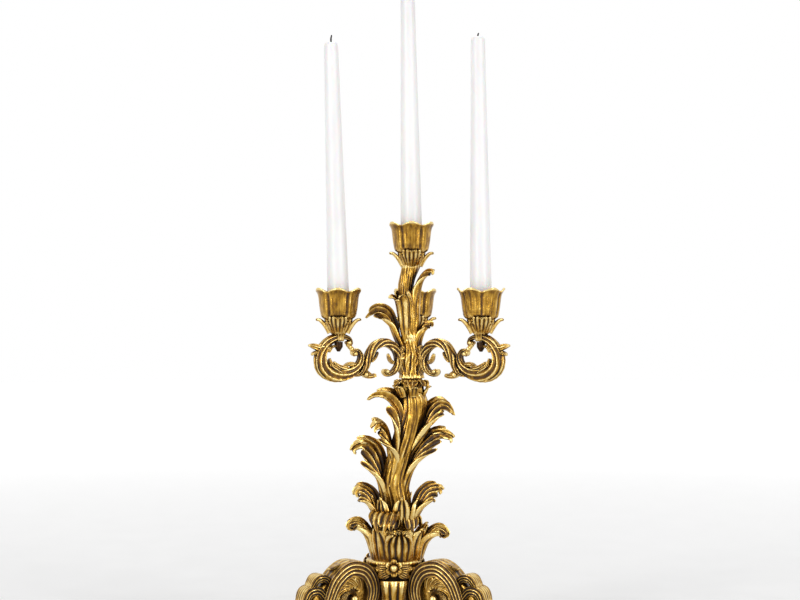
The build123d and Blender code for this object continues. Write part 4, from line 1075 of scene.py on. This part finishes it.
def candle_length(side):
    """Length of a candle along its axis, from its foot to its top."""
    low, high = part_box(f"candle_{side}")
    return (high.z - low.z) / MM / cos(radians(LEANS[side])) - 0.25


def candle_foot(side):
    """Height of a candle's foot from the middle of its socket: its low edge stands just off the floor."""
    return 0.35 - SOCKET_DEPTH / 2 + CANDLE_R * sin(radians(LEANS[side]))


def candle(side):
    """Tapering candle with a softened shoulder and a little pool round its wick."""
    length, foot = candle_length(side), candle_foot(side)
    profile = [(0.3, 0), (9.8, 0), (10.5, 0.6), (CANDLE_R, 2), (CANDLE_R, 12), (CANDLE_R, SOCKET_DEPTH)]
    for t in np.linspace(0.04, 0.98, 40):
        r = CANDLE_R + (CANDLE_TIP_R - CANDLE_R) * t
        profile.append((r, SOCKET_DEPTH + (length - SOCKET_DEPTH - 4) * t))
    for r, drop in ((6.85, 3.2), (6.7, 2.2), (6.3, 1.2), (5.6, 0.45), (4.7, 0.05), (3.8, 0.0), (2.6, 0.35),
                    (1.4, 0.9), (0.3, 1.1)):
        profile.append((r, length - drop))
    return [leaned(turned([(r, z + foot) for r, z in profile], (0, 0, 0), 72), side)]


def wick(side):
    """Twisted cord with a bent, burnt end."""
    top = candle_length(side) + candle_foot(side)
    proud = top_of(f"wick_{side}") - top_of(f"candle_{side}")
    line = [(0, top - 6), (0, top), (0.1, top + 0.5 * proud), (0.9, top + 0.95 * proud)]
    thick = ((0, 1.7), (0.7, 1.7), (1, 1.3))
    cord = band((0, 0, 0), 0, line, thick, thick, (2, 2), 0.16, swirl=3, squareness=0.1, ends=(0.3, 0.6),
                around=24, spacing=0.25)
    return [leaned(cord, side)]


# Settings that a user may change
def colour_of(name, description, code):
    """Property for a colour, from an sRGB hex value."""
    return FloatVectorProperty(name=name, description=description, default=from_hex(code), size=4,
                               subtype="COLOR", min=0, max=1)


def length_of(name, description, default, low, high):
    """Property for a length in metres."""
    return FloatProperty(name=name, description=description, default=default, min=low, max=high,
                         unit="LENGTH", subtype="DISTANCE")


class HolderFinish(PropertyGroup):
    """Colours and pattern sizes of the finishes."""

    gold_ridge: colour_of("Rubbed ridges", "Colour of the gold where it is rubbed bright", "#EFD48C")
    gold_light: colour_of("Light gold", "Colour of raised, plain surfaces", "#CDA042")
    gold_mid: colour_of("Middle gold", "Colour of level surfaces", "#9A7020")
    gold_deep: colour_of("Deep gold", "Colour where the dark glaze begins", "#684718")
    glaze: colour_of("Brown glaze", "Colour of the glaze in grooves", "#4C3010")
    patina: colour_of("Patina", "Colour of the deepest hollows", "#26180C")
    wax: colour_of("Wax", "Colour of the candles", "#FBFAF9")
    wax_shade: colour_of("Wax shade", "Colour of the wax in its darker streaks", "#F1F0F0")
    streak_mm: FloatProperty(name="Streaks", description="Size of the glaze's streaks in millimetres",
                             default=4.0, min=0.5, max=30)


class HolderForm(PropertyGroup):
    """Sizes of the carving that the construction leaves free."""

    petal_groove: length_of("Petal groove", "Depth of the grooves between a cup's petals", 0.0013, 0, 0.003)
    trunk_groove: length_of("Trunk groove", "Depth of the grooves down the trunk", 0.0046, 0, 0.006)
    trunk_strands: IntProperty(name="Trunk strands", description="How many strands the trunk shows",
                               default=9, min=4, max=16)


class HolderStudio(PropertyGroup):
    """Camera and light."""

    camera_back: length_of("Camera distance", "How far the camera stands from the stem", 1.8, 0.5, 5)
    camera_height: length_of("Camera height", "Height of the level camera above the floor", 0.35, 0, 2)
    camera_side: length_of("Camera side", "How far the camera stands to the right of the base's axis", 0.006,
                           -1, 1)
    lens: FloatProperty(name="Lens", description="Focal length in millimetres on a sensor 36 mm wide",
                        default=81.0, min=20, max=300)
    lamp_glow: FloatProperty(name="Lamp radiance", description="Radiance of the soft boxes", default=5.5,
                             min=0, max=20)


# Operators: one for each piece or group of like pieces, and one for the stage
class HOLDER_OT_finishes(Operator):
    """Makes the finishes and gives the construction's own pieces theirs"""

    bl_idname = "holder.finishes"
    bl_label = "Finishes"

    def execute(self, context):
        for slot, maker in FINISH_MAKERS.items():
            finishes[slot] = maker()
        for subpart in frame["record"]["subparts"]:
            mesh = frame["nodes"][subpart["node"]].data
            mesh.materials.clear()
            mesh.materials.append(finishes[subpart["material_slot"]])
        return {"FINISHED"}


class HOLDER_OT_base(Operator):
    """Makes the plate, the column, the rosettes and the brackets"""

    bl_idname = "holder.base"
    bl_label = "Base"

    def execute(self, context):
        casting("base_plate", base_plate())
        casting("base_body", base_body())
        for side, azimuth in GAP_AZIMUTHS.items():
            casting(f"rosette_{side}", rosette(azimuth))
            casting(f"bracket_{side}", bracket(azimuth))
        return {"FINISHED"}


class HOLDER_OT_legs(Operator):
    """Makes the three scroll legs"""

    bl_idname = "holder.legs"
    bl_label = "Legs"

    def execute(self, context):
        for side, azimuth in LEG_AZIMUTHS.items():
            casting(f"leg_{side}", leg(azimuth))
        return {"FINISHED"}


class HOLDER_OT_tiers(Operator):
    """Makes the two tiers of broad leaves at the foot of the stem"""

    bl_idname = "holder.tiers"
    bl_label = "Leaf tiers"

    def execute(self, context):
        casting("lower_leaf_vase", vase())
        casting("upper_leaf_cup", leaf_cup())
        return {"FINISHED"}


class HOLDER_OT_stem(Operator):
    """Makes the trunk, the collar, the hub and the branch"""

    bl_idname = "holder.stem"
    bl_label = "Stem"

    def execute(self, context):
        form = context.scene.holder_form
        casting("trunk", [stem(
            TRUNK_STATIONS, (0, 0, TRUNK_Z), COLLAR_Z - TRUNK_Z, form.trunk_strands,
            form.trunk_groove / MM, 7, rows=190, around=200, swirl=-0.5)])
        casting("collar", collar())
        casting("hub", [stem(
            HUB_STATIONS, (HUB_X, 0, HUB_Z), BRANCH_Z - HUB_Z, 9, 2.6, 11, rows=70, around=160, swirl=0.4)])
        casting("centre_branch", [stem(
            BRANCH_STATIONS, (HUB_X, 0, BRANCH_Z), CALYX_Z["centre"] - BRANCH_Z, 5, 1.6, 13, rows=120,
            around=144, swirl=0.25)])
        return {"FINISHED"}


class HOLDER_OT_stem_leaves(Operator):
    """Makes the leaves of the trunk and of the branch"""

    bl_idname = "holder.stem_leaves"
    bl_label = "Stem leaves"

    def execute(self, context):
        for node, shape in STEM_LEAVES.items():
            casting(node, stem_leaf(**shape))
        return {"FINISHED"}


class HOLDER_OT_arms(Operator):
    """Makes the three pierced scroll arms"""

    bl_idname = "holder.arms"
    bl_label = "Arms"

    def execute(self, context):
        for side, azimuth in ARM_AZIMUTHS.items():
            casting(f"arm_{side}", arm(azimuth))
        return {"FINISHED"}


class HOLDER_OT_cups(Operator):
    """Makes the calyxes and the petalled cups"""

    bl_idname = "holder.cups"
    bl_label = "Cups"

    def execute(self, context):
        for side in CUP_AXES:
            casting(f"calyx_{side}", calyx(side))
            casting(f"cup_{side}", cup(side))
        return {"FINISHED"}


class HOLDER_OT_candles(Operator):
    """Makes the candles and their wicks"""

    bl_idname = "holder.candles"
    bl_label = "Candles"

    def execute(self, context):
        for side in LEANS:
            casting(f"candle_{side}", candle(side), "wax", relief=False)
            casting(f"wick_{side}", wick(side), "wick", relief=False)
        return {"FINISHED"}


def seen_white(tree):
    """1 on camera rays and on what metal and glass show, and 0 on the rays that light the object."""
    path = tree_node(tree, "ShaderNodeLightPath").outputs
    both = tree_node(tree, "ShaderNodeMath", [
        (path["Is Camera Ray"], 0), (path["Is Glossy Ray"], 1)], operation="ADD")
    seen = tree_node(tree, "ShaderNodeMath", [
        (both.outputs[0], 0), (path["Is Transmission Ray"], 1)], operation="ADD", use_clamp=True)
    return seen.outputs[0]


# Studio. The floor is in rings of these radii, and on seen rays it lifts to white with the distance:
# from and to how many metres, and from and to what emission
FLOOR_SIDES = 96
FLOOR_RADII = (300, 1200, 6000)
FLOOR_LIFT = (0.25, 2.5, 0.08, 0.6)
# Strength of the white world on the rays that light the object; it is seen at full strength
WORLD_LIGHT = 0.45
# Soft boxes: name, place, height that each aims at, width, height
LAMPS = (
    ("key", (-1.05, -1.3, 0.85), 0.6, 0.42, 1.5),
    ("fill", (1.15, -1.15, 0.8), 0.55, 0.36, 1.4),
    ("top", (0.1, 0.5, 1.9), 0.3, 0.7, 0.7),
)


def paper_floor():
    """Floor of matt white paper."""
    material, tree, shader = new_finish("matt_paper", Roughness=0.9)
    coloured(tree, shader, pattern(tree, 60.0, 3.0), (0.3, from_hex("#EFEFEF")), (0.7, from_hex("#F4F4F4")))
    shader.inputs["Emission Color"].default_value = (1, 1, 1, 1)
    place = tree_node(tree, "ShaderNodeTexCoord").outputs["Object"]
    away = tree_node(tree, "ShaderNodeVectorMath", [(place, 0)], operation="LENGTH").outputs["Value"]
    lift = tree_node(tree, "ShaderNodeMapRange", [(away, 0), *zip(FLOOR_LIFT, range(1, 5))])
    glow = tree_node(tree, "ShaderNodeMath", [(seen_white(tree), 0), (lift.outputs[0], 1)],
                     operation="MULTIPLY")
    tree.links.new(glow.outputs[0], shader.inputs["Emission Strength"])
    ring = np.array([polar(1, a) for a in np.linspace(0, 360, FLOOR_SIDES, endpoint=False)])
    points = np.concatenate([ring * r for r in FLOOR_RADII]) + (0, 0, -0.05)
    low = np.arange(2 * FLOOR_SIDES).reshape(2, FLOOR_SIDES)
    after = np.roll(low, -1, axis=1)
    quads = np.stack((low, after, after + FLOOR_SIDES, low + FLOOR_SIDES), axis=-1).reshape(-1, 4)
    mesh = bpy.data.meshes.new("floor")
    mesh.from_pydata((points * MM).tolist(), [], quads.tolist() + [low[0].tolist()])
    mesh.materials.append(material)
    floor = bpy.data.objects.new("floor", mesh)
    bpy.context.scene.collection.objects.link(floor)


def white_world():
    """White all round, dimmer on the rays that light the object."""
    world = bpy.data.worlds.new("studio")
    world.use_nodes = True
    tree = world.node_tree
    tree.nodes.clear()
    strength = tree_node(tree, "ShaderNodeMapRange", [(seen_white(tree), 0), (WORLD_LIGHT, 3), (1.0, 4)])
    back = tree_node(tree, "ShaderNodeBackground", [
        ((1, 1, 1, 1), "Color"), (strength.outputs[0], "Strength"),
    ])
    tree_node(tree, "ShaderNodeOutputWorld", [(back.outputs[0], "Surface")])
    bpy.context.scene.world = world


class HOLDER_OT_stage(Operator):
    """Makes the floor, the lamps, the world and the camera"""

    bl_idname = "holder.stage"
    bl_label = "Stage"

    def execute(self, context):
        studio = context.scene.holder_studio
        context.scene.view_settings.view_transform = "Standard"
        paper_floor()
        white_world()
        for name, place, aim, width, height in LAMPS:
            lamp = bpy.data.lights.new(name, "AREA")
            lamp.shape = "RECTANGLE"
            lamp.size = width
            lamp.size_y = height
            lamp.energy = studio.lamp_glow * pi * width * height
            obj = bpy.data.objects.new(name, lamp)
            obj.location = place
            ahead = Vector((0.0, 0.0, aim)) - Vector(place)
            obj.rotation_euler = ahead.to_track_quat("-Z", "Y").to_euler()
            context.scene.collection.objects.link(obj)
        camera = bpy.data.objects.new("camera", bpy.data.cameras.new("camera"))
        camera.data.lens = studio.lens
        camera.data.sensor_width = 36.0
        camera.location = (studio.camera_side, -studio.camera_back, studio.camera_height)
        camera.rotation_euler = (pi / 2, 0, 0)
        context.scene.collection.objects.link(camera)
        context.scene.camera = camera
        return {"FINISHED"}


STEPS = (HOLDER_OT_finishes, HOLDER_OT_base, HOLDER_OT_legs, HOLDER_OT_tiers, HOLDER_OT_stem,
         HOLDER_OT_stem_leaves, HOLDER_OT_arms, HOLDER_OT_cups, HOLDER_OT_candles, HOLDER_OT_stage)
GROUPS = {"holder_finish": HolderFinish, "holder_form": HolderForm, "holder_studio": HolderStudio}


class HOLDER_PT_panel(Panel):
    """Settings and steps of the candle holder"""

    bl_idname = "HOLDER_PT_panel"
    bl_label = "Candle holder"
    bl_space_type = "VIEW_3D"
    bl_region_type = "UI"
    bl_category = "Candle holder"

    def draw(self, context):
        for name, group in GROUPS.items():
            box = self.layout.box()
            for prop in group.__annotations__:
                box.prop(getattr(context.scene, name), prop)
        for step in STEPS:
            self.layout.operator(step.bl_idname)


def register():
    for group in (*GROUPS.values(), *STEPS, HOLDER_PT_panel):
        bpy.utils.register_class(group)
    for name, group in GROUPS.items():
        setattr(bpy.types.Scene, name, PointerProperty(type=group))


def unregister():
    for name in GROUPS:
        delattr(bpy.types.Scene, name)
    for group in reversed((*GROUPS.values(), *STEPS, HOLDER_PT_panel)):
        bpy.utils.unregister_class(group)


def main():
    register()
    for step in STEPS:
        getattr(bpy.ops.holder, step.bl_idname.split(".")[1])()


if __name__ == "__main__":
    main()
